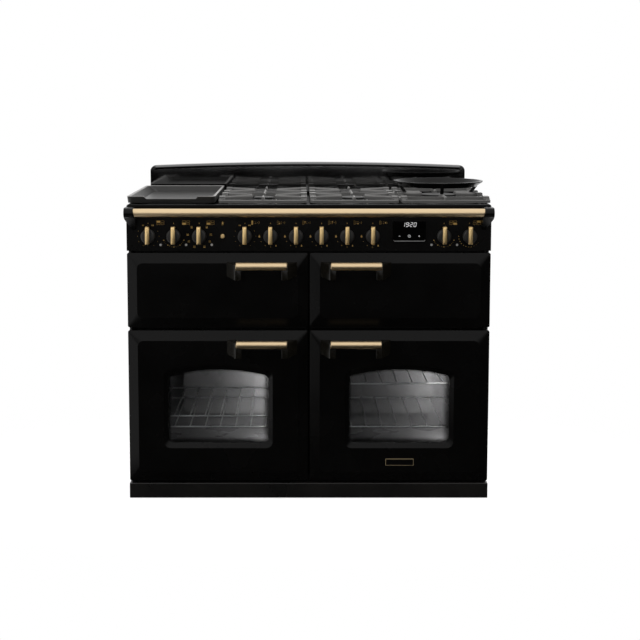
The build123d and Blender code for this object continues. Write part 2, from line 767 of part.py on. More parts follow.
# Griddle: cast tray with upright walls, a sunk pan, a lowered front rim and a finger recess below it
griddle_z = hob_height + 1.0
griddle_pan_z = zone_top + 2.0
griddle_floor = griddle_pan_z + 4.0
griddle_slope = 5.0
griddle_wall = 14.0
griddle_draft = 22.0
griddle_corner = 16.0
griddle_shift = 6.0
pan_gap = 6.0
griddle_foot_radius = 7.0
griddle_foot_x = zone_width / 2 - 10.0
griddle_foot_y = zone_length / 2 - 15.0
rim_dip = 8.0
rim_dip_width = 166.0
rim_dip_slope = 135.0
finger_width = 120.0
finger_height = 8.0
finger_round = 3.0
finger_depth = 9.0
wall_cut = 30.0
griddle_front = module_y - module_length / 2
with BuildPart() as griddle:
    place = (module_x[0], module_y)
    pan_place = (module_x[0] + griddle_shift, module_y)
    inside_width = module_width - griddle_wall - griddle_draft - 2 * griddle_shift
    inside_length = module_length - griddle_wall - griddle_draft
    loft([rounded_face(level(griddle_z), place, module_width - griddle_slope, module_length - griddle_slope,
                       griddle_corner),
          rounded_face(level(griddle_rim), place, module_width, module_length, griddle_corner)], ruled=True)
    extrude(rounded_face(level(griddle_pan_z), pan_place, inside_width + pan_gap, inside_length + pan_gap,
                         griddle_corner),
            amount=griddle_z - griddle_pan_z)
    loft([rounded_face(level(griddle_floor), pan_place, inside_width, inside_length, griddle_corner),
          rounded_face(level(griddle_rim), place, module_width - griddle_wall, module_length - griddle_wall,
                       griddle_corner)], ruled=True, mode=Mode.SUBTRACT)
    with BuildSketch(front_plane(griddle_front + griddle_wall)):
        with Locations((module_x[0], griddle_rim - rim_dip / 2)):
            Trapezoid(rim_dip_width, rim_dip, rim_dip_slope)
    extrude(amount=wall_cut, mode=Mode.SUBTRACT)
    extrude(rounded_face(front_plane(griddle_front + finger_depth), (module_x[0], griddle_z), finger_width,
                         finger_height, finger_round),
            amount=wall_cut, mode=Mode.SUBTRACT)
    for x in (module_x[0] - griddle_foot_x, module_x[0] + griddle_foot_x):
        for y in (module_y - griddle_foot_y, module_y + griddle_foot_y):
            rod_z(x, y, zone_top, griddle_pan_z + 1, griddle_foot_radius)
save(griddle, "griddle")

# Pan supports: cast frame, stepped side blocks, tapering fingers and a centre spine
frame_bar = 12.0
frame_corner = 12.0
frame_z0 = hob_height + 1.0
frame_z1 = frame_z0 + 8.0
finger_z0 = frame_z0 + 3.0
finger_lift = 3.0
finger_half = 4.0
finger_crest = 2.0
finger_fall = 4.0
finger_near = 150.0
finger_root = 14.0
support_foot_x = module_width / 2 - 34.0
support_foot_y = module_length / 2 - frame_bar / 2
support_foot_radius = 5.5
step_width = 18.0
step_foot = 52.0
step_crown = 32.0
step_fall = 5.0
bar_width = 8.0
bar_fall = 2.0
bar_inset = 8.0
block_places = [-190.0, -50.0, 50.0, 190.0]
finger_section = [(-finger_crest, support_top), (-finger_half, support_top - finger_fall)]
supports = [
    ("left_pan_support", module_x[1], [-burner_spacing / 2, burner_spacing / 2], 42.0),
    ("centre_pan_support", module_x[2], [-burner_spacing / 2, burner_spacing / 2], 42.0),
    ("right_pan_support", module_x[3], [0.0], 60.0),
]
for name, middle_x, centres, reach in supports:
    with BuildPart() as support:
        with BuildSketch(level(frame_z0)):
            with Locations((middle_x, module_y)):
                RectangleRounded(module_width, module_length, frame_corner)
                RectangleRounded(module_width - 2 * frame_bar, module_length - 2 * frame_bar,
                                 frame_corner / 3, mode=Mode.SUBTRACT)
        extrude(amount=frame_z1 - frame_z0)
        for x in (middle_x - support_foot_x, middle_x + support_foot_x):
            for y in (module_y - support_foot_y, module_y + support_foot_y):
                rod_z(x, y, well_z, frame_z0 + 2, support_foot_radius)
        step_places = [(middle_x + side * (module_width - step_width) / 2, module_y + place)
                       for side in (-1, 1) for place in block_places]
        for length, top in ((step_foot, support_top - step_fall), (step_crown, support_top)):
            with Locations(*[(x, y, (frame_z0 + top) / 2) for x, y in step_places]):
                Box(step_width, length, top - frame_z0)
        tips = []
        for centre in centres:
            near = [place for place in block_places if abs(place - centre) < finger_near]
            for side in (-1, 1):
                for place in near:
                    root = Vector(middle_x + side * (module_width / 2 - finger_root), module_y + place)
                    goal = Vector(middle_x, module_y + centre)
                    heading = (goal - root).normalized()
                    tips.append((root, goal - heading * reach))
                if len(centres) == 1:
                    root = Vector(middle_x + side * (module_width / 2 - bar_inset), module_y + centre)
                    tips.append((root, Vector(middle_x + side * reach, module_y + centre)))
        spine = [-support_foot_y]
        for centre in centres:
            spine += [centre - reach, centre + reach]
        spine.append(support_foot_y)
        for start, end in zip(spine[::2], spine[1::2]):
            root = Vector(middle_x, module_y + start)
            tips.append((root, Vector(middle_x, module_y + end)))
        for root, tip in tips:
            run = tip - root
            across = Vector(0, 0, 1).cross(run.normalized())
            for origin, foot in ((root, finger_z0), (tip, finger_z0 + finger_lift)):
                section = Plane(origin=(origin.X, origin.Y, 0), x_dir=across, z_dir=run)
                with BuildSketch(section):
                    with BuildLine():
                        Polyline((-finger_half, foot), (finger_half, foot),
                                 (finger_half, support_top - finger_fall), (finger_crest, support_top),
                                 *finger_section, close=True)
                    make_face()
            loft(ruled=True)
        cross_bars = [0.0] if len(centres) == 2 else [block_places[0], block_places[-1]]
        bar_half = module_width / 2 - bar_inset
        for place in cross_bars:
            block(middle_x - bar_half, middle_x + bar_half, module_y + place - bar_width / 2,
                  module_y + place + bar_width / 2, finger_z0, support_top - bar_fall)
    save(support, name)

# Wok ring: cast conical band on four slanted legs
leg_radius = 107.0
leg_half = 6.0
leg_width = 10.0
band_wall = 6.0
band_lip = 3.0
band_cone = 22.0
band_foot = wok_top - 18.0
with BuildPart() as wok_ring:
    with BuildSketch(Plane(origin=(module_x[3], module_y, 0), x_dir=(1, 0, 0), z_dir=(0, -1, 0))):
        with BuildLine():
            Polyline((wok_radius - band_wall, wok_top), (wok_radius, wok_top),
                     (wok_radius, wok_top - band_lip),
                     (wok_radius - band_cone, band_foot), (wok_radius - band_cone - band_wall, band_foot),
                     close=True)
        make_face()
    revolve(axis=Axis((module_x[3], module_y, 0), (0, 0, 1)))
    for angle in (0, 90, 180, 270):
        turn = Plane(origin=(module_x[3], module_y, 0), x_dir=Vector(1, 0, 0).rotate(Axis.Z, angle),
                     z_dir=Vector(0, -1, 0).rotate(Axis.Z, angle))
        with BuildSketch(turn.offset(-leg_width / 2)):
            with BuildLine():
                Polyline((wok_radius - band_cone - leg_half + 1, band_foot + 2),
                         (wok_radius - 2 * leg_half, band_foot + leg_half + 2),
                         (leg_radius + leg_half, support_top), (leg_radius - leg_half, support_top),
                         close=True)
            make_face()
        extrude(amount=leg_width)
save(wok_ring, "wok_ring")

# Rear upstand: arched sheet front with a rolled top bead, open at the back and the foot
corner_top = hob_height + upstand_height - upstand_camber
corner_radius = 20.0
upstand_half = half_width - upstand_inset
bead = 13.0
bead_depth = 5.0
bead_inset = 16.0
bead_fall = 2.0
bead_x = upstand_half - bead_inset
bead_top = corner_top - bead_fall
bead_foot = corner_top - bead
with BuildPart() as rear_upstand:
    with BuildSketch(front_plane(back_y)) as face:
        with BuildLine():
            Polyline((-upstand_half, corner_top), (-upstand_half, lip_z), (upstand_half, lip_z),
                     (upstand_half, corner_top))
            ThreePointArc((upstand_half, corner_top), (0, corner_top + upstand_camber),
                          (-upstand_half, corner_top))
        make_face()
        fillet(face.vertices().group_by(Axis.Z)[-1], corner_radius)
    extrude(amount=upstand_depth)
    hollow_x = upstand_half - hob_sheet
    hollow_top = corner_top - hob_sheet
    with BuildSketch(front_plane(back_y + cut_past)) as hollow:
        with BuildLine():
            Polyline((-hollow_x, hollow_top), (-hollow_x, lip_z - cut_past), (hollow_x, lip_z - cut_past),
                     (hollow_x, hollow_top))
            ThreePointArc((hollow_x, hollow_top), (0, hollow_top + upstand_camber), (-hollow_x, hollow_top))
        make_face()
        fillet(hollow.vertices().group_by(Axis.Z)[-1], corner_radius - hob_sheet)
    extrude(amount=upstand_depth + cut_past - hob_sheet, mode=Mode.SUBTRACT)
    with BuildSketch(front_plane(upstand_y)):
        with BuildLine():
            ThreePointArc((bead_x, bead_top), (0, corner_top + upstand_camber - bead_fall / 2),
                          (-bead_x, bead_top))
            Line((-bead_x, bead_top), (-bead_x, bead_foot))
            ThreePointArc((-bead_x, bead_foot), (0, bead_foot + upstand_camber), (bead_x, bead_foot))
            Line((bead_x, bead_foot), (bead_x, bead_top))
        make_face()
    extrude(amount=bead_depth)
    roll = rear_upstand.faces().sort_by(Axis.Y)[0].edges().filter_by(GeomType.CIRCLE)
    chamfer(roll, bead_depth - bead_fall)
save(rear_upstand, "rear_upstand")

# Heating elements: grill serpentine, ring elements round the fans and the radiant heater dish
element_radius = 3.5
element_drop = 12.0
tail_radius = 3.0
ring_radius = 98.0
ring_setback = 10.0
heater_gap = 6.0
grill_run = 80.0
grill_runs = 5
grill_bend = 24.0
grill_z = upper_floor + upper_opening - element_drop
grill_y0 = frame_back + 60.0
grill_y1 = frame_back + 380.0
fan_z = lower_floor + lower_opening / 2
fan_space = 34.0
back_wall = liner_back - sheet - rest_gap
cover_y = liner_back - sheet - fan_space
fan_y = cover_y + 8.0
with BuildPart() as heating_elements:
    serpentine = []
    for run in range(grill_runs):
        x = -opening_x + (run - (grill_runs - 1) / 2) * grill_run
        ends = [(x, grill_y0, grill_z), (x, grill_y1, grill_z)]
        serpentine += ends if run % 2 else ends[::-1]
    serpentine[0] = (serpentine[0][0], back_wall, grill_z)
    with BuildLine() as grill_route:
        FilletPolyline(*serpentine, radius=grill_bend)
    with BuildSketch(front_plane(back_wall)):
        with Locations((serpentine[0][0], grill_z)):
            Circle(element_radius)
    sweep(path=grill_route.wire())
    for x in (-opening_x, opening_x):
        with Locations((x, fan_y + ring_setback, fan_z)):
            Torus(ring_radius, element_radius, rotation=(90, 0, 0))
        rod_y(x, fan_y + ring_setback, back_wall, fan_z - ring_radius, tail_radius)
    for y in (front_burner_y, rear_burner_y):
        rod_z(module_x[0], y, cup_z, well_z - rest_gap, zone_width / 2 - heater_gap)
save(heating_elements, "heating_elements")

# Grill pan: enamelled tray on the floor of the grill oven
pan_y = frame_back + 215.0
pan_width = opening_width - 40.0
pan_length = 374.0
pan_height = 40.0
pan_slope = 30.0
pan_floor = 3.0
pan_wall = 2.0
pan_foot_corner = 7.0
pan_top_corner = 12.0
with BuildPart() as grill_pan:
    pan_place = (-opening_x, pan_y)
    rim_z = upper_floor + pan_height
    loft([rounded_face(level(upper_floor + rest_gap), pan_place, pan_width - pan_slope,
                       pan_length - pan_slope, pan_foot_corner),
          rounded_face(level(rim_z), pan_place, pan_width, pan_length, pan_top_corner)], ruled=True)
    loft([rounded_face(level(upper_floor + pan_floor), pan_place, pan_width - pan_slope - pan_floor,
                       pan_length - pan_slope - pan_floor, pan_foot_corner - pan_wall),
          rounded_face(level(rim_z), pan_place, pan_width - 2 * pan_wall, pan_length - 2 * pan_wall,
                       pan_top_corner - pan_wall)], ruled=True, mode=Mode.SUBTRACT)
save(grill_pan, "grill_pan")

# Oven racks: wire shelves and the ladders on the side walls that carry them
rod = 3.0
cross_rod = 2.6
wire = 2.0
wire_pitch = 47.0
wires_each_side = 4
runner_pitch = 34.0
runner_base = lower_floor + 34.0
runner_count = 9
runner_inset = 20.0
slow_shelf = upper_floor + 45.0
upright_inset = 50.0
upright_width = 8.0
shelf_y0 = frame_back + 30.0
shelf_y1 = cover_y - 14.0
shelf_run = shelf_y1 - shelf_y0
shelf_middle = (shelf_y0 + shelf_y1) / 2
ladder_bar = 9.0
ladder_sheet = 3.0
shelf_half = opening_width / 2 - ladder_sheet - 1.5
shelf_levels = [(-opening_x, runner_base + 2 * runner_pitch), (-opening_x, runner_base + 3 * runner_pitch),
                (opening_x, runner_base + 2 * runner_pitch), (opening_x, runner_base + 6 * runner_pitch),
                (opening_x, slow_shelf)]
with BuildPart() as shelf:
    for x in (-shelf_half + rod, shelf_half - rod):
        rod_y(x, -shelf_run / 2 - rod, shelf_run / 2 + rod, 0, rod)
    for y in (-shelf_run / 2, shelf_run / 2):
        rod_x(-shelf_half + rod, shelf_half - rod, y, 0, cross_rod)
    with Locations(*[(step * wire_pitch, 0, rod) for step in range(-wires_each_side, wires_each_side + 1)]):
        Cylinder(wire, shelf_run + rod, rotation=(90, 0, 0))
with BuildPart() as oven_racks:
    with Locations(*[(x, shelf_middle, z + 2 * rod + rest_gap) for x, z in shelf_levels]):
        add(shelf.part)
    for x in (-opening_x, opening_x):
        for side in (-1, 1):
            wall = x + side * (opening_width / 2 - rest_gap)
            with Locations((wall - side * ladder_sheet / 2, shelf_middle, fan_z)):
                with GridLocations(1, shelf_run - 2 * upright_inset, 1, 2):
                    Box(ladder_sheet, upright_width, (runner_count + 1) * runner_pitch)
            runner_x = wall - side * ladder_bar / 2
            runners = [(runner_x, shelf_middle, runner_base + step * runner_pitch + rod / 2)
                       for step in range(runner_count)]
            with Locations(*runners):
                Box(ladder_bar, shelf_run - 2 * runner_inset, rod)
    for side in (-1, 1):
        wall = opening_x + side * (opening_width / 2 - rest_gap)
        with Locations((wall - side * ladder_bar / 2, shelf_middle, slow_shelf + rod / 2)):
            Box(ladder_bar, shelf_run - 2 * runner_inset, rod)
save(oven_racks, "oven_racks")

# Fan covers: slotted plates in front of the fans, standing off the back wall on a skirt
cover_width = 300.0
cover_height = 280.0
cover_corner = 20.0
vent_length = 15.0
vent_width = 6.0
vent_rings = [(24, 8), (44, 14), (64, 20)]
with BuildPart() as fan_covers:
    for x in (-opening_x, opening_x):
        extrude(rounded_face(front_plane(back_wall), (x, fan_z), cover_width, cover_height, cover_corner),
                amount=fan_space)
        extrude(rounded_face(front_plane(back_wall), (x, fan_z), cover_width - 2 * sheet,
                             cover_height - 2 * sheet, cover_corner - sheet),
                amount=fan_space - sheet, mode=Mode.SUBTRACT)
    for x in (-opening_x, opening_x):
        for ring, count in vent_rings:
            with BuildSketch(front_plane(cover_y + cut_past)):
                with Locations((x, fan_z)):
                    with PolarLocations(ring, count):
                        SlotOverall(vent_length, vent_width)
            extrude(amount=2 * cut_past, mode=Mode.SUBTRACT)
save(fan_covers, "fan_covers")

# Fan motors behind the ovens, each with a bearing neck in the back wall
motor_neck = 14.0
motor_length = 56.0
motor_neck_radius = 24.0
motor_radius = 38.0
shaft_depth = 30.0
with BuildPart() as fan_motors:
    for x in (-opening_x, opening_x):
        rod_y(x, liner_back, liner_back + motor_neck, fan_z, motor_neck_radius)
        rod_y(x, liner_back + motor_neck, liner_back + motor_length, fan_z, motor_radius)
        rod_y(x, liner_back - 1, liner_back + shaft_depth, fan_z, spindle_radius + pin_clearance,
              mode=Mode.SUBTRACT)
save(fan_motors, "fan_motors")

# Oven fans: wheel with paddle blades on the motor shaft
wheel_y = fan_y + 18.0
wheel_radius = 74.0
hub_radius = 9.0
blade_count = 10
blade_place = 55.0
blade_length = 34.0
blade_depth = 16.0
shaft_end = shaft_depth - 2.0
for name, x in (("left_oven_fan", -opening_x), ("right_oven_fan", opening_x)):
    with BuildPart() as fan:
        rod_y(x, wheel_y, wheel_y + sheet, fan_z, wheel_radius)
        rod_y(x, fan_y, wheel_y, fan_z, hub_radius)
        rod_y(x, wheel_y, liner_back + shaft_end, fan_z, spindle_radius)
        with BuildSketch(front_plane(wheel_y)):
            with Locations((x, fan_z)):
                with PolarLocations(blade_place, blade_count):
                    Rectangle(blade_length, sheet)
        extrude(amount=blade_depth)
    save(fan, name)
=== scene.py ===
import math

import bpy
import numpy as np
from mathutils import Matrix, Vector


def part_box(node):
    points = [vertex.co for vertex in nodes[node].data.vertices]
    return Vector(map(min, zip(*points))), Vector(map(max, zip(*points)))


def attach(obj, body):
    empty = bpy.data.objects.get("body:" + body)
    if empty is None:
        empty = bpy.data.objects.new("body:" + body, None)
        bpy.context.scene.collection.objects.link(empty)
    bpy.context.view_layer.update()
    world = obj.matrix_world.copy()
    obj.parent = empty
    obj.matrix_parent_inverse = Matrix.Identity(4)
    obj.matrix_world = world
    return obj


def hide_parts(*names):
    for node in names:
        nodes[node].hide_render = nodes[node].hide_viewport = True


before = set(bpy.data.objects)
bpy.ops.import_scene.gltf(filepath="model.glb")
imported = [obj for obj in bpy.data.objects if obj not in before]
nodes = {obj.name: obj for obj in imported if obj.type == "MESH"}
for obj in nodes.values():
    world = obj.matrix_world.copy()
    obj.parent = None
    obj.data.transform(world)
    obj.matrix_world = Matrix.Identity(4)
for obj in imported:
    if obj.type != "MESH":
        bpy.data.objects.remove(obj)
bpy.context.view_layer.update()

# Studio: a white surround, a pale floor that fades into it, and large soft lamps.
# Black cards in front, on the right and at the foot keep the reflections in the enamel dark.
# The camera stands nearly four metres back, a little above the hob, looking slightly down.
scene = bpy.context.scene
scene.view_settings.view_transform = "Standard"

camera_data = bpy.data.cameras.new("camera")
camera_data.lens = 68.27
camera_data.sensor_width = 36.0
camera_data.shift_x = 0.0322
camera_data.shift_y = -0.15
camera_tilt = 5.776
camera = bpy.data.objects.new("camera", camera_data)
camera.location = (-0.0283, -3.8815, 1.208)
camera.rotation_euler = (math.radians(90.0 - camera_tilt), 0.0, 0.0)
scene.collection.objects.link(camera)
scene.camera = camera


def wire(tree, source, output, target, entry):
    """Join one node's output socket to another node's input socket."""
    tree.links.new(source.outputs[output], target.inputs[entry])


def add_node(tree, kind, **settings):
    """New node of a kind, with attributes set by name."""
    made = tree.nodes.new(kind)
    for key, value in settings.items():
        setattr(made, key, value)
    return made


def preset(node, **values):
    """Set a node's input sockets; an underscore in a key stands for a space in the socket's name."""
    for key, value in values.items():
        node.inputs[key.replace("_", " ")].default_value = value
    return node


def shown_rays(tree):
    """Mask that is 1 for rays that show the surround: camera, glossy and transmission rays."""
    ray = add_node(tree, "ShaderNodeLightPath")
    mirrored = add_node(tree, "ShaderNodeMath", operation="MAXIMUM")
    wire(tree, ray, "Is Glossy Ray", mirrored, 0)
    wire(tree, ray, "Is Transmission Ray", mirrored, 1)
    shown = add_node(tree, "ShaderNodeMath", operation="MAXIMUM")
    wire(tree, ray, "Is Camera Ray", shown, 0)
    wire(tree, mirrored, "Value", shown, 1)
    return shown


world = bpy.data.worlds.new("studio")
scene.world = world
world.use_nodes = True
sky = world.node_tree
sky.nodes.clear()
sky_out = add_node(sky, "ShaderNodeOutputWorld")
fill = preset(add_node(sky, "ShaderNodeBackground"), Color=(1.0, 0.98, 0.96, 1.0), Strength=0.12)
white = preset(add_node(sky, "ShaderNodeBackground"), Color=(1.0, 1.0, 1.0, 1.0))
sky_mix = add_node(sky, "ShaderNodeMixShader")
wire(sky, shown_rays(sky), "Value", sky_mix, "Fac")
wire(sky, fill, "Background", sky_mix, 1)
wire(sky, white, "Background", sky_mix, 2)
wire(sky, sky_mix, "Shader", sky_out, "Surface")


def new_finish(name):
    """Empty material with a principled shader; returns the material, its tree and the shader."""
    look = bpy.data.materials.new(name)
    look.use_nodes = True
    made = look.node_tree
    made.nodes.clear()
    out = add_node(made, "ShaderNodeOutputMaterial")
    shader = add_node(made, "ShaderNodeBsdfPrincipled")
    wire(made, shader, "BSDF", out, "Surface")
    return look, made, shader


card_look, tree, shader = new_finish("black_card")
preset(shader, Base_Color=(0.02, 0.02, 0.02, 1.0), Specular_IOR_Level=0.0)


def flat_sheet(name, corners, look):
    """One flat face through four corners, linked into the scene."""
    mesh = bpy.data.meshes.new(name)
    mesh.from_pydata(corners, [], [(0, 1, 2, 3)])
    mesh.materials.append(look)
    sheet = bpy.data.objects.new(name, mesh)
    scene.collection.objects.link(sheet)
    return sheet


def black_card(name, corners):
    """Flat black card that only reflections and glass show."""
    card = flat_sheet(name, corners, card_look)
    card.visible_camera = False
    card.visible_diffuse = False
    card.visible_shadow = False
    return card


card_y, card_left, card_right, card_low = -3.4, -2.3, 2.2, -2.5
front_top, right_top, right_back = 0.8, 2.4, 0.0
foot_half, foot_near, foot_far, foot_z = 0.75, -1.7, -0.2, 0.003
black_card("front_card", [(card_left, card_y, card_low), (card_right, card_y, card_low),
                          (card_right, card_y, front_top), (card_left, card_y, front_top)])
black_card("right_card", [(card_right, card_y, card_low), (card_right, right_back, card_low),
                          (card_right, right_back, right_top), (card_right, card_y, right_top)])
foot_card = black_card("foot_card", [(-foot_half, foot_near, foot_z), (foot_half, foot_near, foot_z),
                                     (foot_half, foot_far, foot_z), (-foot_half, foot_far, foot_z)])
foot_card.visible_transmission = False


def soft_lamp(name, at, aim, width, height, power, tint=(1.0, 0.98, 0.95)):
    """Rectangular soft lamp that faces a point."""
    data = bpy.data.lights.new(name, "AREA")
    data.shape = "RECTANGLE"
    data.size = width
    data.size_y = height
    data.energy = power
    data.color = tint
    lamp = bpy.data.objects.new(name, data)
    lamp.location = at
    lamp.rotation_euler = (Vector(aim) - Vector(at)).to_track_quat("-Z", "Y").to_euler()
    lamp.visible_glossy = False
    scene.collection.objects.link(lamp)
    return lamp


soft_lamp("overhead_lamp", (0.0, -0.25, 2.7), (0.0, 0.0, 0.9), 2.6, 1.2, 34.0)
soft_lamp("left_lamp", (-2.4, -1.9, 1.5), (0.0, -0.2, 0.5), 1.2, 1.8, 12.0)
soft_lamp("right_lamp", (2.4, -1.2, 1.9), (0.0, 0.0, 0.6), 1.0, 1.6, 8.0)
soft_lamp("rear_lamp", (0.3, 2.4, 2.2), (0.0, 0.2, 0.5), 2.2, 1.2, 40.0)

floor_look = bpy.data.materials.new("pale_floor")
floor_look.use_nodes = True
tree = floor_look.node_tree
tree.nodes.clear()
floor_out = add_node(tree, "ShaderNodeOutputMaterial")
pale = preset(add_node(tree, "ShaderNodeBsdfDiffuse"), Color=(0.9, 0.9, 0.9, 1.0))
clear = add_node(tree, "ShaderNodeBsdfTransparent")
place = add_node(tree, "ShaderNodeTexCoord")
stretch = preset(add_node(tree, "ShaderNodeMapping"), Scale=(1.0, 1.55, 0.0))
wire(tree, place, "Object", stretch, "Vector")
far = add_node(tree, "ShaderNodeVectorMath", operation="LENGTH")
wire(tree, stretch, "Vector", far, 0)
fade = add_node(tree, "ShaderNodeMapRange", interpolation_type="SMOOTHERSTEP")
preset(fade, From_Min=0.55, From_Max=1.35)
wire(tree, far, "Value", fade, "Value")
lift = preset(add_node(tree, "ShaderNodeEmission"), Color=(0.8, 0.8, 0.8, 1.0))
wire(tree, shown_rays(tree), "Value", lift, "Strength")
lit_floor = add_node(tree, "ShaderNodeAddShader")
wire(tree, pale, "BSDF", lit_floor, 0)
wire(tree, lift, "Emission", lit_floor, 1)
blend = add_node(tree, "ShaderNodeMixShader")
wire(tree, fade, "Result", blend, "Fac")
wire(tree, lit_floor, "Shader", blend, 1)
wire(tree, clear, "BSDF", blend, 2)
wire(tree, blend, "Shader", floor_out, "Surface")
floor_half = 1.6
floor = flat_sheet("floor", [(-floor_half, -floor_half, 0), (floor_half, -floor_half, 0),
                             (floor_half, floor_half, 0), (-floor_half, floor_half, 0)], floor_look)
floor.visible_glossy = False
floor.visible_transmission = False

# Carcass: side sheets, frame, panel, door fronts, hob tray, upstand and plinth in enamel fired on steel.
# The fired glass has a slight ripple and a haze of fine handling marks that show at a glancing angle.


def new_group(name, entries, exits):
    """Empty shader group with named sockets; returns it with its input, output and coordinate nodes."""
    group = bpy.data.node_groups.new(name, "ShaderNodeTree")
    for side, sockets in (("INPUT", entries), ("OUTPUT", exits)):
        for socket, kind in sockets.items():
            group.interface.new_socket(socket, in_out=side, socket_type=f"NodeSocket{kind}")
    return (group, add_node(group, "NodeGroupInput"), add_node(group, "NodeGroupOutput"),
            add_node(group, "ShaderNodeTexCoord"))


ripple, start, end, place = new_group("fired_ripple", {"Scale": "Float"},
                                      {"Height": "Float", "Haze": "Float"})
peel = preset(add_node(ripple, "ShaderNodeTexNoise"), Detail=2.0)
cloud = preset(add_node(ripple, "ShaderNodeTexNoise"), Scale=7.0, Detail=5.0)
wire(ripple, place, "Object", peel, "Vector")
wire(ripple, place, "Object", cloud, "Vector")
wire(ripple, start, "Scale", peel, "Scale")
wire(ripple, peel, "Fac", end, "Height")
haze = preset(add_node(ripple, "ShaderNodeMapRange"), From_Min=0.3, From_Max=0.7)
wire(ripple, cloud, "Fac", haze, "Value")
wire(ripple, haze, "Result", end, "Haze")


def place_group(made, group, **values):
    """Node group put into a material, with its inputs set by name."""
    return preset(add_node(made, "ShaderNodeGroup", node_tree=group), **values)


def two_tone(made, shader, source, output, first, second, entry="Base Color"):
    """Blend of two colours by a mask, into a colour socket of the shader; returns the blend."""
    mixed = add_node(made, "ShaderNodeMix", data_type="RGBA")
    preset(mixed, A=(*first, 1.0), B=(*second, 1.0))
    wire(made, source, output, mixed, "Factor")
    wire(made, mixed, "Result", shader, entry)
    return mixed


def dulled(made, shader, source, output, smooth, dull):
    """Roughness that runs from smooth to dull with a 0 to 1 value."""
    ranged = preset(add_node(made, "ShaderNodeMapRange"), To_Min=smooth, To_Max=dull)
    wire(made, source, output, ranged, "Value")
    wire(made, ranged, "Result", shader, "Roughness")


def relief(made, shader, source, output, strength, depth):
    """Bump from a height value, into the shader's normal."""
    bump = preset(add_node(made, "ShaderNodeBump"), Strength=strength, Distance=depth)
    wire(made, source, output, bump, "Height")
    wire(made, bump, "Normal", shader, "Normal")


def hazed(name, first, second, smooth, dull, scale, bump=0.0, depth=0.0, shine=0.5, index=1.5):
    """Smooth fired or moulded finish: two close tones and a roughness by the haze, over a fine ripple."""
    look, made, shader = new_finish(name)
    fired = place_group(made, ripple, Scale=scale)
    two_tone(made, shader, fired, "Haze", first, second)
    dulled(made, shader, fired, "Haze", smooth, dull)
    preset(shader, Specular_IOR_Level=shine, IOR=index)
    if bump:
        relief(made, shader, fired, "Height", bump, depth)
    return look


def fired_enamel(name, first, second, smooth, dull, shine, index=1.5):
    """Vitreous enamel: the hazed finish with the slight ripple of glass fired on steel."""
    return hazed(name, first, second, smooth, dull, 260.0, 0.04, 0.0006, shine, index)


def dress(look, *names):
    """Give CAD nodes a finish."""
    for name in names:
        nodes[name].data.materials.clear()
        nodes[name].data.materials.append(look)


black_enamel = fired_enamel("black_enamel", (0.0042, 0.0041, 0.0041), (0.0056, 0.0054, 0.0053),
                            0.22, 0.3, 0.145)
dress(black_enamel, "side_panels", "front_frame", "control_panel", "door_hinges",
      "left_oven_door_panel", "right_oven_door_panel", "grill_door_panel", "slow_oven_door_panel")
# Bracket enamel: a lighter copy of the door's black enamel, as painted light on the handle arms.
painted_light_bracket_enamel = fired_enamel("painted_light_bracket_enamel", (0.01, 0.009, 0.007), (0.014, 0.0125, 0.0095),
                              0.2, 0.28, 0.4)
jet, soft_jet = (0.0016, 0.0016, 0.0017), (0.0024, 0.0023, 0.0023)
dress(fired_enamel("hob_enamel", jet, soft_jet, 0.14, 0.22, 0.06), "hob_tray")
splash_enamel = fired_enamel("splash_enamel", jet, soft_jet, 0.03, 0.06, 0.5, index=2.3)
dress(splash_enamel, "rear_upstand")
plinth_paint = fired_enamel("plinth_paint", (0.011, 0.0108, 0.0106), (0.018, 0.0165, 0.0155),
                            0.26, 0.34, 0.5)
dress(plinth_paint, "plinth")

# Hidden sheet metal: back, base tray, feet and motors in zinc-coated steel, pipes and fans in aluminium.
# Rolled, folded and drawn, and left bare, with a dull spangle and faint working lines.
lines, start, end, place = new_group("drawn_lines", {"Stretch": "Vector"},
                                     {"Height": "Float", "Tone": "Float"})
pull = add_node(lines, "ShaderNodeVectorMath", operation="MULTIPLY")
wire(lines, place, "Object", pull, 0)
wire(lines, start, "Stretch", pull, 1)
scratch = preset(add_node(lines, "ShaderNodeTexNoise"), Scale=1.0, Detail=3.0)
wire(lines, pull, "Vector", scratch, "Vector")
wire(lines, scratch, "Fac", end, "Height")
broad = preset(add_node(lines, "ShaderNodeTexNoise"), Scale=18.0, Detail=4.0)
wire(lines, place, "Object", broad, "Vector")


def weighed(group, fine, fine_share, coarse, coarse_share):
    """Weighted sum of two noises: fine times its share plus coarse times its share."""
    part = add_node(group, "ShaderNodeMath", operation="MULTIPLY")
    part.inputs[1].default_value = coarse_share
    wire(group, coarse, "Fac", part, 0)
    total = add_node(group, "ShaderNodeMath", operation="MULTIPLY_ADD")
    total.inputs[1].default_value = fine_share
    wire(group, fine, "Fac", total, 0)
    wire(group, part, "Value", total, 2)
    return total


wire(lines, weighed(lines, scratch, 0.6, broad, 0.4), "Value", end, "Tone")


def drawn_metal(name, first, second, smooth, dull, stretch_by, depth):
    """Bare metal with drawing or brushing lines along one direction."""
    look, made, shader = new_finish(name)
    drawn = place_group(made, lines, Stretch=stretch_by)
    two_tone(made, shader, drawn, "Tone", first, second)
    dulled(made, shader, drawn, "Tone", smooth, dull)
    shader.inputs["Metallic"].default_value = 1.0
    relief(made, shader, drawn, "Height", 0.15, depth)
    return look


zinc_steel = drawn_metal("zinc_steel", (0.42, 0.43, 0.44), (0.62, 0.63, 0.64), 0.32, 0.5,
                         (30.0, 30.0, 420.0), 0.0003)
dress(zinc_steel, "back_panel", "base_pan", "levelling_feet", "fan_motors")
dress(drawn_metal("bare_aluminium", (0.55, 0.55, 0.56), (0.74, 0.74, 0.75), 0.25, 0.45,
                  (300.0, 300.0, 60.0), 0.0002), "gas_pipework", "left_oven_fan", "right_oven_fan")

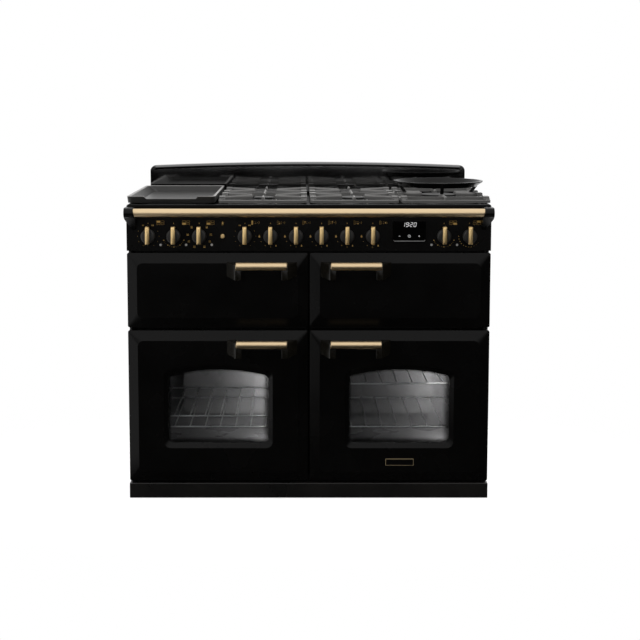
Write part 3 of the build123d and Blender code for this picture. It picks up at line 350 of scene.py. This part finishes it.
# Oven shelves: bright nickel-plated wire, welded into racks that rest on ladders at the side walls.
# The wire is drawn, so it has only the faintest of lines.
dress(drawn_metal("bright_wire", (0.62, 0.62, 0.63), (0.85, 0.85, 0.86), 0.24, 0.34,
                  (120.0, 120.0, 120.0), 0.0001), "oven_racks")

# Oven interiors: steel boxes and fittings in grey enamel with pale flecks, fired hard so they wipe clean.
# The flecks are the usual splash of lighter frit on the ground coat.
flecks, start, end, place = new_group("frit_flecks", {"Scale": "Float"}, {"Fleck": "Float"})
cells = preset(add_node(flecks, "ShaderNodeTexVoronoi"), Randomness=1.0)
wire(flecks, place, "Object", cells, "Vector")
wire(flecks, start, "Scale", cells, "Scale")
speck = preset(add_node(flecks, "ShaderNodeMapRange"), From_Min=0.2, From_Max=0.13)
wire(flecks, cells, "Distance", speck, "Value")
wire(flecks, speck, "Result", end, "Fleck")

oven_enamel, tree, shader = new_finish("oven_enamel")
fleck = place_group(tree, flecks, Scale=190.0)
fired = place_group(tree, ripple, Scale=200.0)
two_tone(tree, shader, fleck, "Fleck", (0.17, 0.17, 0.175), (0.34, 0.34, 0.35))
dulled(tree, shader, fired, "Haze", 0.22, 0.36)
relief(tree, shader, fired, "Height", 0.06, 0.0006)
dress(oven_enamel, "lower_oven_liners", "upper_oven_liners", "fan_covers", "grill_pan",
      "left_oven_door_liner", "right_oven_door_liner", "grill_door_liner", "slow_oven_door_liner")

# Door seals: moulded silicone rope clipped round each opening, matt and slightly powdery.
# Each is one closed ring, which the shut door presses against the front frame.
dress(hazed("seal_rubber", (0.02, 0.02, 0.02), (0.035, 0.034, 0.033), 0.6, 0.8, 700.0, 0.2, 0.0004),
      "door_seals")

# Heating elements: metal-sheathed rods, oxidised dark by their first heating.
# A serpentine heats the grill, a ring lies round each oven fan, and two dishes are under the ceramic zone.
dress(drawn_metal("sheathed_element", (0.05, 0.046, 0.044), (0.13, 0.12, 0.115), 0.4, 0.6,
                  (200.0, 60.0, 200.0), 0.0002), "heating_elements")

# Door windows: two panes of heat-proof glass, lightly tinted, clamped behind the pressed surround.
# A dark ceramic frit is fired on round the edge of each pane and thins out towards the clear middle.
frit, start, end, place = new_group("frit_border", {"Centre": "Vector"}, {"Clear": "Float"})
middle = add_node(frit, "ShaderNodeVectorMath", operation="SUBTRACT")
wire(frit, place, "Object", middle, 0)
wire(frit, start, "Centre", middle, 1)
split = add_node(frit, "ShaderNodeSeparateXYZ")
wire(frit, middle, "Vector", split, "Vector")
square = add_node(frit, "ShaderNodeMath", operation="POWER")
square.inputs[1].default_value = 2.0
wire(frit, split, "X", square, 0)
arch = add_node(frit, "ShaderNodeMath", operation="MULTIPLY_ADD")
arch.inputs[1].default_value = 0.86
wire(frit, square, "Value", arch, 0)
wire(frit, split, "Z", arch, 2)


def thinning(source, output, edge, inner):
    """Mask that rises from 0 at the border's edge to 1 where the glass is clear."""
    thin = preset(add_node(frit, "ShaderNodeMapRange", interpolation_type="SMOOTHSTEP"),
                  From_Min=edge, From_Max=inner)
    wire(frit, source, output, thin, "Value")
    return thin


clear, clear_output = thinning(split, "X", -0.156, -0.142), "Result"
for thin in (thinning(split, "X", 0.156, 0.13), thinning(split, "Z", -0.117, -0.098),
             thinning(arch, "Value", 0.116, 0.102)):
    both = add_node(frit, "ShaderNodeMath", operation="MULTIPLY")
    wire(frit, clear, clear_output, both, 0)
    wire(frit, thin, "Result", both, 1)
    clear, clear_output = both, "Value"
wire(frit, clear, clear_output, end, "Clear")
for name in ("left_oven_door_glass", "right_oven_door_glass"):
    low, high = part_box(name)
    door_glass, tree, shader = new_finish(name)
    border = place_group(tree, frit, Centre=[(low[axis] + high[axis]) / 2 for axis in range(3)])
    two_tone(tree, shader, border, "Clear", (0.3, 0.3, 0.3), (0.84, 0.845, 0.85))
    dulled(tree, shader, place_group(tree, ripple, Scale=30.0), "Haze", 0.0, 0.02)
    preset(shader, Transmission_Weight=1.0, IOR=1.45)
    dress(door_glass, name)

# Handles and rail: drawn brass bar, satin brushed along its length and lacquered.
# Each bar is held between two black brackets; the gas taps and the push button are brass too.
bar_brass = drawn_metal("bar_brass", (0.76, 0.57, 0.34), (0.86, 0.68, 0.43), 0.36, 0.44,
                        (6.0, 900.0, 900.0), 0.0002)
dress(bar_brass, "hand_rail", "left_oven_door_handle", "right_oven_door_handle", "grill_door_handle",
      "slow_oven_door_handle")
grip_brass = drawn_metal("grip_brass", (0.88, 0.63, 0.29), (1.0, 0.73, 0.36), 0.36, 0.46,
                         (900.0, 900.0, 10.0), 0.0002)
dress(grip_brass, "gas_taps", "push_button")

# Handle brackets: steel arms, enamelled black like the door, that swell from the handle back to the door
# face.
# Their edges are rolled over, which the light picks out; the skin stands just clear of the arm inside.
# Their enamel is a lighter copy of the door's black enamel: painted light on the arms.


def lofted(name, rings_list, look, body, smooth=35.0):
    """Closed skin through rings of points: quads join each ring to the next, a flat cap shuts both ends.

    Each entry is an array (rings, around, 3). The sign of the enclosed volume, summed over the faces as
    a . (b x c), turns the faces so that they point outwards."""
    points, quads, caps, base = [], [], [], 0
    for rings in rings_list:
        count, around = rings.shape[:2]
        index = base + np.arange(count * around).reshape(count, around)
        beside = np.roll(index, -1, axis=1)
        faces = np.stack([index[:-1], beside[:-1], beside[1:], index[1:]], axis=-1).reshape(-1, 4)
        flat = rings.reshape(-1, 3)
        a, b, c, d = (flat[faces[:, k] - base] for k in range(4))
        volume = np.einsum("ij,ij->", a, np.cross(b, c) + np.cross(c, d))
        for ring, sign in ((index[0], -1.0), (index[-1], 1.0)):
            loop = flat[ring - base]
            volume += sign * np.einsum("j,ij->", loop[0], np.cross(loop[1:-1], loop[2:]))
        if volume < 0:
            faces = faces[:, ::-1]
            caps += [index[0].tolist(), index[-1][::-1].tolist()]
        else:
            caps += [index[0][::-1].tolist(), index[-1].tolist()]
        points.append(flat)
        quads += faces.tolist()
        base += count * around
    mesh = bpy.data.meshes.new(name)
    mesh.from_pydata(np.concatenate(points).tolist(), [], quads + caps)
    mesh.polygons.foreach_set("use_smooth", np.ones(len(mesh.polygons), bool))
    mesh.set_sharp_from_angle(angle=math.radians(smooth))
    mesh.update()
    piece = bpy.data.objects.new(name, mesh)
    scene.collection.objects.link(piece)
    mesh.materials.append(look)
    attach(piece, body)
    return piece


def rounded(half_x, half_z, corner, around=48):
    """Rounded rectangle in the front plane: arcs about (half - corner), joined by straight sides."""
    angle = (np.arange(around) + 0.5) * 2.0 * np.pi / around
    c, s = np.cos(angle), np.sin(angle)
    return np.stack([np.sign(c) * (half_x - corner) + corner * c,
                     np.sign(s) * (half_z - corner) + corner * s], axis=-1)


field_y, arm_skin, arm_corner = -0.2765, 0.0006, 0.002
arm_spread, arm_draw, arm_half, arm_taper = 0.0905, 0.021, 0.0145, 0.005
arm_top, arm_fall, arm_foot, arm_toe = 0.007, 0.003, -0.036, 0.006
arm_stations = ((0.0, 0.0), (0.3, 0.0), (0.65, 0.0), (0.98, 0.0), (1.0, 0.0004), (1.015, 0.0016))
for door in ("left_oven_door", "right_oven_door", "grill_door", "slow_oven_door"):
    low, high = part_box(f"{door}_handle")
    grip_x, grip_y, grip_z = ((low[axis] + high[axis]) / 2 for axis in range(3))
    arms = []
    for end_side in (-1, 1):
        rings = []
        for step, inset in arm_stations:
            middle_x = grip_x + end_side * (arm_spread - arm_draw * step)
            top, foot = arm_top - arm_fall * step, arm_foot - arm_toe * step
            grow = arm_skin - inset
            ring = rounded(arm_half - arm_taper * step + grow, (top - foot) / 2 + grow, arm_corner)
            rings.append(np.stack([middle_x + ring[:, 0],
                                   np.full(len(ring), field_y + (grip_y - field_y) * step),
                                   grip_z + (top + foot) / 2 + ring[:, 1]], axis=-1))
        arms.append(np.array(rings))
    lofted(f"{door}_brackets", arms, painted_light_bracket_enamel, door)

# Switch bodies behind the panel: moulded phenolic blocks, matt as they leave the mould.
# Each takes the spindle of one knob, and one more holds the stem of the push button.
dress(hazed("dark_plastic", (0.011, 0.011, 0.010), (0.018, 0.017, 0.016), 0.34, 0.48, 900.0, 0.1, 0.0002),
      "rotary_switches")

# Hob castings: griddle and pan supports in sand-cast iron, matt enamelled, the top of the griddle's rim
# painted lighter grey as a painted highlight.
# The wok ring has a glossy enamel, the burner caps a matt one, and the burner bodies are bare alloy.
grain, start, end, place = new_group("sand_cast", {"Scale": "Float"}, {"Height": "Float", "Tone": "Float"})
sand = preset(add_node(grain, "ShaderNodeTexNoise"), Detail=6.0, Roughness=0.65)
patch = preset(add_node(grain, "ShaderNodeTexNoise"), Scale=26.0, Detail=4.0)
wire(grain, place, "Object", sand, "Vector")
wire(grain, place, "Object", patch, "Vector")
wire(grain, start, "Scale", sand, "Scale")
wire(grain, sand, "Fac", end, "Height")
wire(grain, weighed(grain, sand, 0.5, patch, 0.5), "Value", end, "Tone")


def cast_iron(name, first, second, smooth, dull, highlight_band=None):
    """Enamelled sand casting: grainy skin with patchy tone, a painted highlight of lighter grey above
    highlight_band, a pair of heights.
    """
    look, made, shader = new_finish(name)
    cast = place_group(made, grain, Scale=420.0)
    skin = two_tone(made, shader, cast, "Tone", first, second)
    dulled(made, shader, cast, "Tone", smooth, dull)
    shader.inputs["Specular IOR Level"].default_value = 0.25
    relief(made, shader, cast, "Height", 0.35, 0.0005)
    if highlight_band:
        # Painted highlight: above the band's heights the colour blends to a lighter grey.
        level = add_node(made, "ShaderNodeSeparateXYZ")
        wire(made, add_node(made, "ShaderNodeTexCoord"), "Object", level, "Vector")
        painted_rim_highlight = preset(add_node(made, "ShaderNodeMapRange"), From_Min=highlight_band[0], From_Max=highlight_band[1])
        wire(made, level, "Z", painted_rim_highlight, "Value")
        wire(made, skin, "Result", two_tone(made, shader, painted_rim_highlight, "Result", first, (0.32, 0.32, 0.32)), "A")
    return look


griddle_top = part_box("griddle")[1][2]
dress(cast_iron("support_iron", (0.17, 0.17, 0.17), (0.29, 0.29, 0.29), 0.32, 0.5),
      "left_pan_support", "centre_pan_support", "right_pan_support")
dress(cast_iron("griddle_iron", (0.03, 0.03, 0.03), (0.056, 0.056, 0.056), 0.3, 0.46,
                highlight_band=(griddle_top - 0.0022, griddle_top - 0.0006)), "griddle")
dress(fired_enamel("ring_enamel", (0.006, 0.006, 0.006), (0.011, 0.011, 0.011), 0.14, 0.22, 0.1),
      "wok_ring")
dress(cast_iron("cap_enamel", (0.012, 0.012, 0.012), (0.03, 0.03, 0.03), 0.3, 0.45), "burner_caps")
dress(drawn_metal("burner_alloy", (0.3, 0.3, 0.3), (0.5, 0.5, 0.5), 0.35, 0.55,
                  (200.0, 200.0, 60.0), 0.0003), "burner_bodies")

# Ceramic zone and clock: black glass with a polished face.
# The zone is a plate laid over its opening in the hob tray; the clock's glass is let into the panel.
dress(hazed("black_glass", (0.002, 0.002, 0.002), (0.004, 0.004, 0.004), 0.04, 0.1, 40.0),
      "ceramic_zone", "clock_display")

# Indicator lamps: clear moulded lenses that look white when unlit.
# Each is set from behind into a hole in the panel, beside the knob that it belongs to.
lamp_lens, tree, shader = new_finish("lamp_lens")
fired = place_group(tree, ripple, Scale=300.0)
two_tone(tree, shader, fired, "Haze", (0.78, 0.78, 0.77), (0.88, 0.88, 0.87))
shader.inputs["Roughness"].default_value = 0.2
dress(lamp_lens, "indicator_lamps")

# Knobs: a moulded black disc with a raised rib, and a satin brass bar let into the rib.
# Each pair turns as one on its spindle; the bar is crowned along its length so its top catches the light.


def turned(radii, heights, centre, axis, around=48):
    """Rings of a turned shape: radius against distance along an axis ('x', 'y' or 'z'), about a centre."""
    angle = np.linspace(0.0, 2.0 * np.pi, around, endpoint=False)
    radii, heights = np.asarray(radii)[:, None], np.asarray(heights)[:, None]
    first, second = radii * np.cos(angle), radii * np.sin(angle)
    along = heights + 0.0 * angle
    order = {"x": (along, first, second), "y": (first, along, second), "z": (first, second, along)}[axis]
    return np.stack(order, axis=-1) + np.asarray(centre)


def raised(half_x, half_z, corner, centre, depths, insets, crown=0.0):
    """Rings that lift a rounded rectangle towards the viewer: depth and edge inset per ring, bowed along z.

    The bow sets each raised ring back by crown (z / half_z) squared."""
    rings = []
    for depth, inset in zip(depths, insets):
        flat = rounded(half_x - inset, half_z - inset, max(corner - inset, 0.0004))
        bow = crown * (depth > 0.0) * (flat[:, 1] / half_z) ** 2
        rings.append(np.stack([centre[0] + flat[:, 0], centre[1] - depth + bow, centre[2] + flat[:, 1]],
                              axis=-1))
    return np.array(rings)


knob_names = ["knob_grill", "knob_left_oven_heat", "knob_left_oven_function", "knob_griddle_zone",
              "knob_burner_left_front", "knob_burner_left_rear", "knob_burner_centre_rear",
              "knob_burner_centre_front", "knob_burner_wok", "knob_right_oven", "knob_slow_oven"]
disc_radius, disc_depth, spindle_radius, spindle_run = 0.0215, 0.014, 0.004, 0.03
disc_radii = [0.002, disc_radius - 0.004, disc_radius - 0.0022, disc_radius - 0.0008, disc_radius,
              disc_radius, disc_radius - 0.0006, spindle_radius, spindle_radius]
disc_steps = [0.0, 0.0, 0.0004, 0.0018, 0.004, disc_depth - 0.0012, disc_depth, disc_depth,
              disc_depth + spindle_run]
rib_half, rib_reach, rib_corner, rib_sunk = 0.0094, 0.0205, 0.005, 0.0004
rib_depths, rib_insets = [0.0, 0.0052, 0.0062, 0.0066], [0.0, 0.0002, 0.0007, 0.0018]
grip_half, grip_reach, grip_depth, grip_rise = 0.0064, 0.027, 0.019, 0.004
grip_corner, grip_crown = 0.0024, 0.005
grip_depths = [0.0, 0.017, 0.0181, 0.0187, grip_depth, grip_depth]
grip_insets = [0.0, 0.0003, 0.0006, 0.0012, 0.0021, 0.0058]
knob_plastic = hazed("knob_plastic", (0.017, 0.0165, 0.0155), (0.025, 0.024, 0.0225), 0.36, 0.46,
                     900.0, 0.08, 0.0002)
knob_place = {}
for name in knob_names:
    low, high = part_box(name)
    x = (low[0] + high[0]) / 2
    z = high[2] - grip_reach - grip_rise
    front = low[1] + grip_depth
    knob_place[name] = (x, z)
    disc = turned(disc_radii, disc_steps, (x, front, z), "y", 64)
    rib = raised(rib_half, rib_reach, rib_corner, (x, front + rib_sunk, z), rib_depths, rib_insets)
    knob = lofted(f"{name}_disc", [disc, rib], knob_plastic, name)
    bar = raised(grip_half, grip_reach, grip_corner, (x, front, z + grip_rise), grip_depths, grip_insets,
                 grip_crown)
    grip = lofted(f"{name}_grip", [bar], grip_brass, name)
    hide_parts(name)
    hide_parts(name)

# Panel print: gold scales, flames and zone signs, screen-printed on the enamel and fired in.
# All are plain dots, bars, boxes and drops, and there is no lettering.
print_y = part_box("clock_display")[0][1] + 0.005
print_thickness, scale_radius, pointer_rise, sign_rise = 0.00012, 0.0325, 0.0385, 0.0405


def flat_print(outlines, y):
    """Thin raised print from front-plane outlines (x, z): two rings, a print's thickness apart, at y."""
    return [np.stack([np.stack([o[:, 0], np.full(len(o), depth), o[:, 1]], axis=-1)
                      for depth in (y, y - print_thickness)]) for o in outlines]


def dot(x, z, radius, around=12):
    """Round dot: x + r cos(t), z + r sin(t)."""
    angle = np.linspace(0.0, 2.0 * np.pi, around, endpoint=False)
    return np.stack([x + radius * np.cos(angle), z + radius * np.sin(angle)], axis=-1)


def dash(x, z, width, height, turn=0.0):
    """Bar about its middle, turned clockwise by an angle."""
    corner = np.array([[-width, -height], [width, -height], [width, height], [-width, height]]) / 2
    c, s = math.cos(turn), math.sin(turn)
    return corner @ np.array([[c, -s], [s, c]]) + (x, z)


def box_line(x, z, width, height, stroke):
    """Four bars round a rectangle."""
    return [dash(x, z + height / 2, width + stroke, stroke),
            dash(x, z - height / 2, width + stroke, stroke),
            dash(x - width / 2, z, stroke, height), dash(x + width / 2, z, stroke, height)]


def flame(x, z, size):
    """Drop with its tip up: x = 0.62 s sin(t) (1 - 0.55 cos(t)) |sin(t / 2)| ^ 0.4, z = s cos(t)."""
    t = np.linspace(0.0, 2.0 * np.pi, 14, endpoint=False)
    return np.stack([x + 0.62 * size * np.sin(t) * (1.0 - 0.55 * np.cos(t)) * np.abs(np.sin(t / 2)) ** 0.4,
                     z + size * np.cos(t)], axis=-1)


def round_mark(centre, radius, degrees):
    """Place on a circle, by clock angle from twelve."""
    turn = math.radians(degrees)
    return centre[0] + radius * math.sin(turn), centre[1] + radius * math.cos(turn)


def scale_marks(name, centre):
    """Marks round one knob: dots for heat, also bars for degrees, boxes for functions, flames for gas."""
    marks = []
    if name in ("knob_grill", "knob_griddle_zone"):
        for degrees in (62, 90, 120, 150, 210, 240, 270, 298):
            marks.append(dot(*round_mark(centre, scale_radius, degrees), 0.0007))
        for degrees in (-24, 24):
            x, z = round_mark(centre, 0.0355, degrees)
            marks += [dash(x - 0.0025, z, 0.002, 0.0036), dash(x + 0.0012, z, 0.002, 0.0036)]
    elif name in ("knob_left_oven_heat", "knob_right_oven"):
        for step, degrees in enumerate(np.linspace(112.0, 248.0, 13)):
            mark = round_mark(centre, scale_radius, degrees)
            marks.append(dot(*mark, 0.0006) if step % 3 else dash(*mark, 0.0036, 0.0018))
    elif name == "knob_left_oven_function":
        for step, degrees in enumerate((40, 82, 117, 155, 205, 243, 278, 320)):
            x, z = round_mark(centre, 0.035, degrees)
            inside = (dash(x, z - 0.001, 0.0036, 0.0026), dot(x, z, 0.001), dash(x, z, 0.0036, 0.0008))
            marks += [*box_line(x, z, 0.0056, 0.0056, 0.0005), inside[step % 3]]
    elif name == "knob_slow_oven":
        for step, degrees in enumerate((270, 255, 240, 226, 212, 198, 184, 170, 156, 142, 128)):
            marks.append(dot(*round_mark(centre, scale_radius, degrees), 0.0014 - 0.00008 * step))
    else:
        marks += [flame(*round_mark(centre, 0.0335, 270), 0.0042),
                  flame(*round_mark(centre, scale_radius, 150), 0.003)]
        for degrees in (180, 210, 240):
            marks.append(dot(*round_mark(centre, scale_radius, degrees), 0.0009))
    return marks


def door_sign(x, z, filled):
    """Four boxes that stand for the four doors, with one of them solid."""
    marks = []
    for side in (-1, 1):
        for row in (-1, 1):
            cell = (x + side * 0.0061, z + row * 0.0033)
            solid = (side, row) == filled
            marks += [dash(*cell, 0.0108, 0.0056)] if solid else box_line(*cell, 0.0098, 0.0048, 0.0004)
    return marks


def hob_sign(x, z, chosen):
    """Plan of the hob: a box for the griddle, five dots for the burners, the chosen one large or solid."""
    marks = [dash(x + 0.0115, z + 0.002, 0.0004, 0.0052, -0.6),
             dash(x + 0.0115, z - 0.002, 0.0004, 0.0052, 0.6)]
    if chosen < 0:
        marks.append(dash(x - 0.0092, z, 0.0044, 0.0122))
    else:
        marks += box_line(x - 0.0092, z, 0.0036, 0.0114, 0.0004)
    spots = [(-0.0042, -0.0026), (-0.0042, 0.0026), (0.0012, 0.0026), (0.0012, -0.0026), (0.0072, 0.0)]
    for spot_no, (dx, dz) in enumerate(spots):
        marks.append(dot(x + dx, z + dz, 0.0019 if spot_no == chosen else 0.0007))
    return marks


first_burner = knob_names.index("knob_burner_left_front")
sign_reach = {"knob_grill": 0.037, "knob_left_oven_heat": 0.037, "knob_left_oven_function": 0.034,
              "knob_right_oven": 0.027, "knob_slow_oven": 0.0215}
sign_door = {"knob_grill": (-1, 1), "knob_left_oven_heat": (-1, -1), "knob_left_oven_function": (-1, -1),
             "knob_right_oven": (1, -1), "knob_slow_oven": (1, 1)}
outlines = []
for place_no, name in enumerate(knob_names):
    x, z = knob_place[name]
    outlines.append(dash(x, z + pointer_rise, 0.0015, 0.0032))
    outlines += scale_marks(name, (x, z))
    sign = (x + sign_reach.get(name, 0.031), z + sign_rise)
    if name in sign_door:
        outlines += door_sign(*sign, sign_door[name])
    else:
        outlines += hob_sign(*sign, place_no - first_burner)
button_low, button_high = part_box("push_button")
button_x = (button_low[0] + button_high[0]) / 2
outlines += [flame(button_x, 0.8465, 0.004), dash(button_x, 0.8405, 0.006, 0.0008)]
gold_print, tree, shader = new_finish("gold_print")
drawn = place_group(tree, lines, Stretch=(500.0, 500.0, 500.0))
two_tone(tree, shader, drawn, "Tone", (0.80, 0.50, 0.13), (0.95, 0.64, 0.22))
shader.inputs["Roughness"].default_value = 0.45
lofted("panel_print", flat_print(outlines, print_y), gold_print, "cabinet")

# Clock: white lit figures behind the black glass, and three touch marks.
# A thin metal lip is bent along the foot of the glass and turned up at both ends.
display_low, display_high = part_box("clock_display")
display_x = (display_low[0] + display_high[0]) / 2
glass_y = display_low[1] + 0.002
figure_height, figure_width, stroke, lean = 0.0121, 0.0065, 0.0012, 0.16
figure_z, figure_pitch, colon_half = 0.841, 0.0099, 0.0028
segments = {"a": (0, 1, True), "b": (1, 0.5, False), "c": (1, -0.5, False), "d": (0, -1, True),
            "e": (-1, -0.5, False), "f": (-1, 0.5, False), "g": (0, 0, True)}
shapes = {"1": "bc", "9": "abcdfg", "2": "abged", "0": "abcdef"}
figures = []
for place_no, figure in zip((-1.72, -0.62, 0.62, 1.72), "1920"):
    for key in shapes[figure]:
        across, up, level = segments[key]
        size = (figure_width * 0.86, stroke) if level else (stroke, figure_height * 0.42)
        corner = dash(across * figure_width / 2, up * figure_height / 2, *size)
        corner[:, 0] += lean * corner[:, 1] + display_x + place_no * figure_pitch
        corner[:, 1] += figure_z
        figures.append(corner)
for dz in (-colon_half, colon_half):
    figures.append(dot(display_x + lean * dz, figure_z + dz, 0.0009))
key_z, key_size, key_stroke, key_reach, key_radius = 0.8065, 0.0046, 0.0007, 0.0295, 0.0036
figures += [dash(display_x - key_reach, key_z, key_size, key_stroke),
            dash(display_x + key_reach, key_z, key_size, key_stroke),
            dash(display_x + key_reach, key_z, key_stroke, key_size),
            dash(display_x + 0.0006, key_z, 0.0016, 0.0005),
            dash(display_x, key_z + 0.0009, 0.0005, 0.002)]
for degrees in range(0, 360, 30):
    mark = round_mark((display_x, key_z), key_radius, degrees)
    figures.append(dash(*mark, 0.0021, 0.0006, math.radians(degrees)))
lit_white, tree, shader = new_finish("lit_white")
fired = place_group(tree, ripple, Scale=400.0)
two_tone(tree, shader, fired, "Haze", (0.85, 0.87, 0.9), (1.0, 1.0, 1.0), "Emission Color")
preset(shader, Base_Color=(0.8, 0.8, 0.8, 1.0), Emission_Strength=0.7)
lofted("clock_figures", flat_print(figures, glass_y), lit_white, "cabinet")
lip_half = (display_high[0] - display_low[0]) / 2 - 0.0015
lip_thick, lip_tall, lip_turn = 0.0008, 0.0016, 0.004
bend = np.linspace(-1.0, 1.0, 41)
lip_path = np.stack([display_x + lip_half * bend, np.full(len(bend), display_low[1] - 0.0002),
                     display_low[2] + 0.0022 + lip_turn * np.abs(bend) ** 40], axis=-1)
angle = np.linspace(0.0, 2.0 * np.pi, 10, endpoint=False)
lip_section = np.stack([0.0 * angle, lip_thick * np.cos(angle), lip_tall * np.sin(angle)], axis=-1)
polished_lip = drawn_metal("polished_lip", (0.2, 0.2, 0.2), (0.28, 0.28, 0.28), 0.4, 0.5,
                           (40.0, 600.0, 600.0), 0.0001)
lofted("display_lip", [lip_path[:, None, :] + lip_section], polished_lip, "cabinet")

# Door plate: a thin plate with a plain black face and a narrow brass border, fixed to the right oven door.
# It is pressed from brass, and only its border is left bright.
plate_centre = (0.2765, field_y, 0.1146)
plate_half = (0.0425, 0.0102)
plate_brass = hazed("plate_brass", (0.84, 0.66, 0.38), (0.95, 0.78, 0.48), 0.4, 0.5, 300.0)
plate_edge = raised(*plate_half, 0.0012, plate_centre, [0.0, 0.0009, 0.0012], [0.0, 0.0, 0.0004])
plate_face = raised(*plate_half, 0.0026, plate_centre, [0.0011, 0.0015, 0.00155], [0.0009, 0.0009, 0.003])
lofted("door_plate_border", [plate_edge], plate_brass, "right_oven_door")
lofted("door_plate_face", [plate_face], black_enamel, "right_oven_door")

# Upstand roll: the top edge of the rear sheet is rolled over into a bead, which stiffens it.
# It follows the camber of the sheet and is enamelled with it.


def drawn_along(run, section_y, section_z):
    """Profile carried along x: each ring repeats the section (y, z) at one place of the run."""
    return np.stack(np.broadcast_arrays(run[:, None], section_y, section_z), axis=-1)


upstand_low, upstand_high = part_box("rear_upstand")
camber, roll_inset = 0.012, 0.019
run = np.linspace(upstand_low[0] + roll_inset, upstand_high[0] - roll_inset, 121)
half_run = (upstand_high[0] - upstand_low[0]) / 2
roll_top = upstand_high[2] - camber * (run / half_run) ** 2
section = np.array([[0.0052, 0.0], [0.0025, -0.0011], [-0.0005, -0.0024], [-0.0035, -0.0038],
                    [-0.0053, -0.0049], [-0.0061, -0.0057], [-0.0063, -0.0066], [-0.0059, -0.0075],
                    [-0.005, -0.0083], [-0.003, -0.0094], [0.0, -0.0112], [0.0035, -0.0134],
                    [0.0052, -0.0138]])
roll = drawn_along(run, upstand_low[1] + section[:, 0], roll_top[:, None] + section[:, 1])
lofted("upstand_roll", [roll], splash_enamel, "cabinet")

# Plinth ledge: a folded steel strip under the doors that closes the gap between plinth and front frame.
# It is painted with the plinth and screwed to the plinth's turned-in top edge.
plinth_low, plinth_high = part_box("plinth")
ledge_front, ledge_back, ledge_top = plinth_low[1] + 0.0232, -0.2301, plinth_high[2] - 0.0002
ledge_sheet, ledge_drop, ledge_round, ledge_inset = 0.0012, 0.008, 0.0005, 0.002
ledge_y = np.array([ledge_front, ledge_front, ledge_back - ledge_sheet, ledge_back - ledge_sheet,
                    ledge_back, ledge_back, ledge_back - ledge_round])
ledge_z = ledge_top - np.array([0.0, ledge_sheet, ledge_sheet, ledge_drop, ledge_drop, ledge_round, 0.0])
ledge_run = np.linspace(plinth_low[0] + ledge_inset, plinth_high[0] - ledge_inset, 9)
lofted("plinth_ledge", [drawn_along(ledge_run, ledge_y, ledge_z)], plinth_paint, "cabinet")

# Fan gauzes: a disc of finely woven steel wire, enamelled with the oven, held in each fan cover's slots.
# It keeps grease off the fan, and its holes are far too small to show.
oven_places, fan_z, gauze_radius = (-0.273, 0.273), 0.287, 0.0745
gauze_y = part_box("fan_covers")[0][1] + 0.0009
gauze_radii = [0.0005, gauze_radius - 0.0005, gauze_radius, gauze_radius, 0.0005]
gauzes = [turned(gauze_radii, [0.0, 0.0, 0.0001, 0.0004, 0.0005], (x, gauze_y, fan_z), "y", 64)
          for x in oven_places]
lofted("fan_gauzes", gauzes, oven_enamel, "cabinet")

# Spark electrodes: a steel pin in a white ceramic sleeve beside each burner.
# The sleeve is clipped through the hob tray, and the spark jumps from the pin to the burner.
burner_spots = [(-0.139, -0.1045, 0.030), (-0.139, 0.1355, 0.036), (0.139, 0.1355, 0.030),
                (0.139, -0.1045, 0.036), (0.417, 0.0155, 0.054)]
spark_gap, spark_back = 0.0085, 0.012
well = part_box("burner_bodies")[1][2] - 0.014
sleeves, pins = [], []
for x, y, radius in burner_spots:
    spot = (x + radius + spark_gap, y + spark_back, well)
    sleeves.append(turned([0.0034, 0.0034, 0.0024, 0.0022, 0.0016], [0.0, 0.0025, 0.0035, 0.0085, 0.0092],
                          spot, "z", 16))
    pins.append(turned([0.0007, 0.0007, 0.0003], [0.009, 0.0112, 0.0118], spot, "z", 10))
white_ceramic, tree, shader = new_finish("white_ceramic")
cast = place_group(tree, grain, Scale=500.0)
two_tone(tree, shader, cast, "Tone", (0.62, 0.6, 0.56), (0.8, 0.79, 0.76))
shader.inputs["Roughness"].default_value = 0.35
lofted("electrode_sleeves", sleeves, white_ceramic, "cabinet")
lofted("electrode_pins", pins, zinc_steel, "cabinet")

# Oven lamps: a lit glass dome, screwed over a small bulb high on the right of each large oven's back wall.
# Two soft lamps out of sight give each oven its light, which falls off quickly to the left.
dome_reach, dome_z = 0.186, 0.42
wall_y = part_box("lower_oven_liners")[1][1] - 0.0015
dome_radii = [0.024, 0.024, 0.022, 0.017, 0.009, 0.002]
dome_steps = [0.0, -0.006, -0.011, -0.0145, -0.0162, -0.0166]
domes = []
for x in oven_places:
    domes.append(turned(dome_radii, dome_steps, (x + dome_reach, wall_y, dome_z), "y", 32))
    right = x > 0
    back_at = (x + 0.152 + 0.015 * right, 0.05, 0.272)
    back_glow = soft_lamp("oven_glow", back_at, (back_at[0], 0.3, 0.2), 0.03, 0.3, 0.98 - 0.22 * right)
    front_glow = soft_lamp("oven_glow", (x + 0.12, -0.224, 0.425), (x + 0.02, -0.08, 0.2), 0.16, 0.02, 0.26)
    front_glow.visible_glossy = True
    for glow in (back_glow, front_glow):
        glow.visible_transmission = False
        glow.visible_camera = False
lofted("oven_lamp_domes", domes, lit_white, "cabinet")

# Back fixings: pan-head screws round the edge of the back sheet, in zinc-plated steel.
# They hold the sheet to the flanges of the carcass.
back_low, back_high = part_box("back_panel")
sheet_y, screw_inset, side_inset = 0.3, 0.012, 0.16
screw_left, screw_right = back_low[0] + screw_inset, back_high[0] - screw_inset
screw_foot, screw_top = back_low[2] + screw_inset, back_high[2] - screw_inset
screw_x = np.concatenate([np.linspace(screw_left, screw_right, 8)] * 2
                         + [np.full(4, screw_left), np.full(4, screw_right)])
screw_z = np.concatenate([np.full(8, screw_foot), np.full(8, screw_top)]
                         + [np.linspace(back_low[2] + side_inset, back_high[2] - side_inset, 4)] * 2)
screw_radii = [0.0042, 0.0042, 0.0036, 0.0022, 0.0015, 0.0012]
screw_steps = [0.0, 0.0008, 0.0018, 0.0023, 0.0023, 0.0012]
screws = [turned(screw_radii, screw_steps, (x, sheet_y, z), "y", 14) for x, z in zip(screw_x, screw_z)]
lofted("back_screws", screws, zinc_steel, "cabinet")
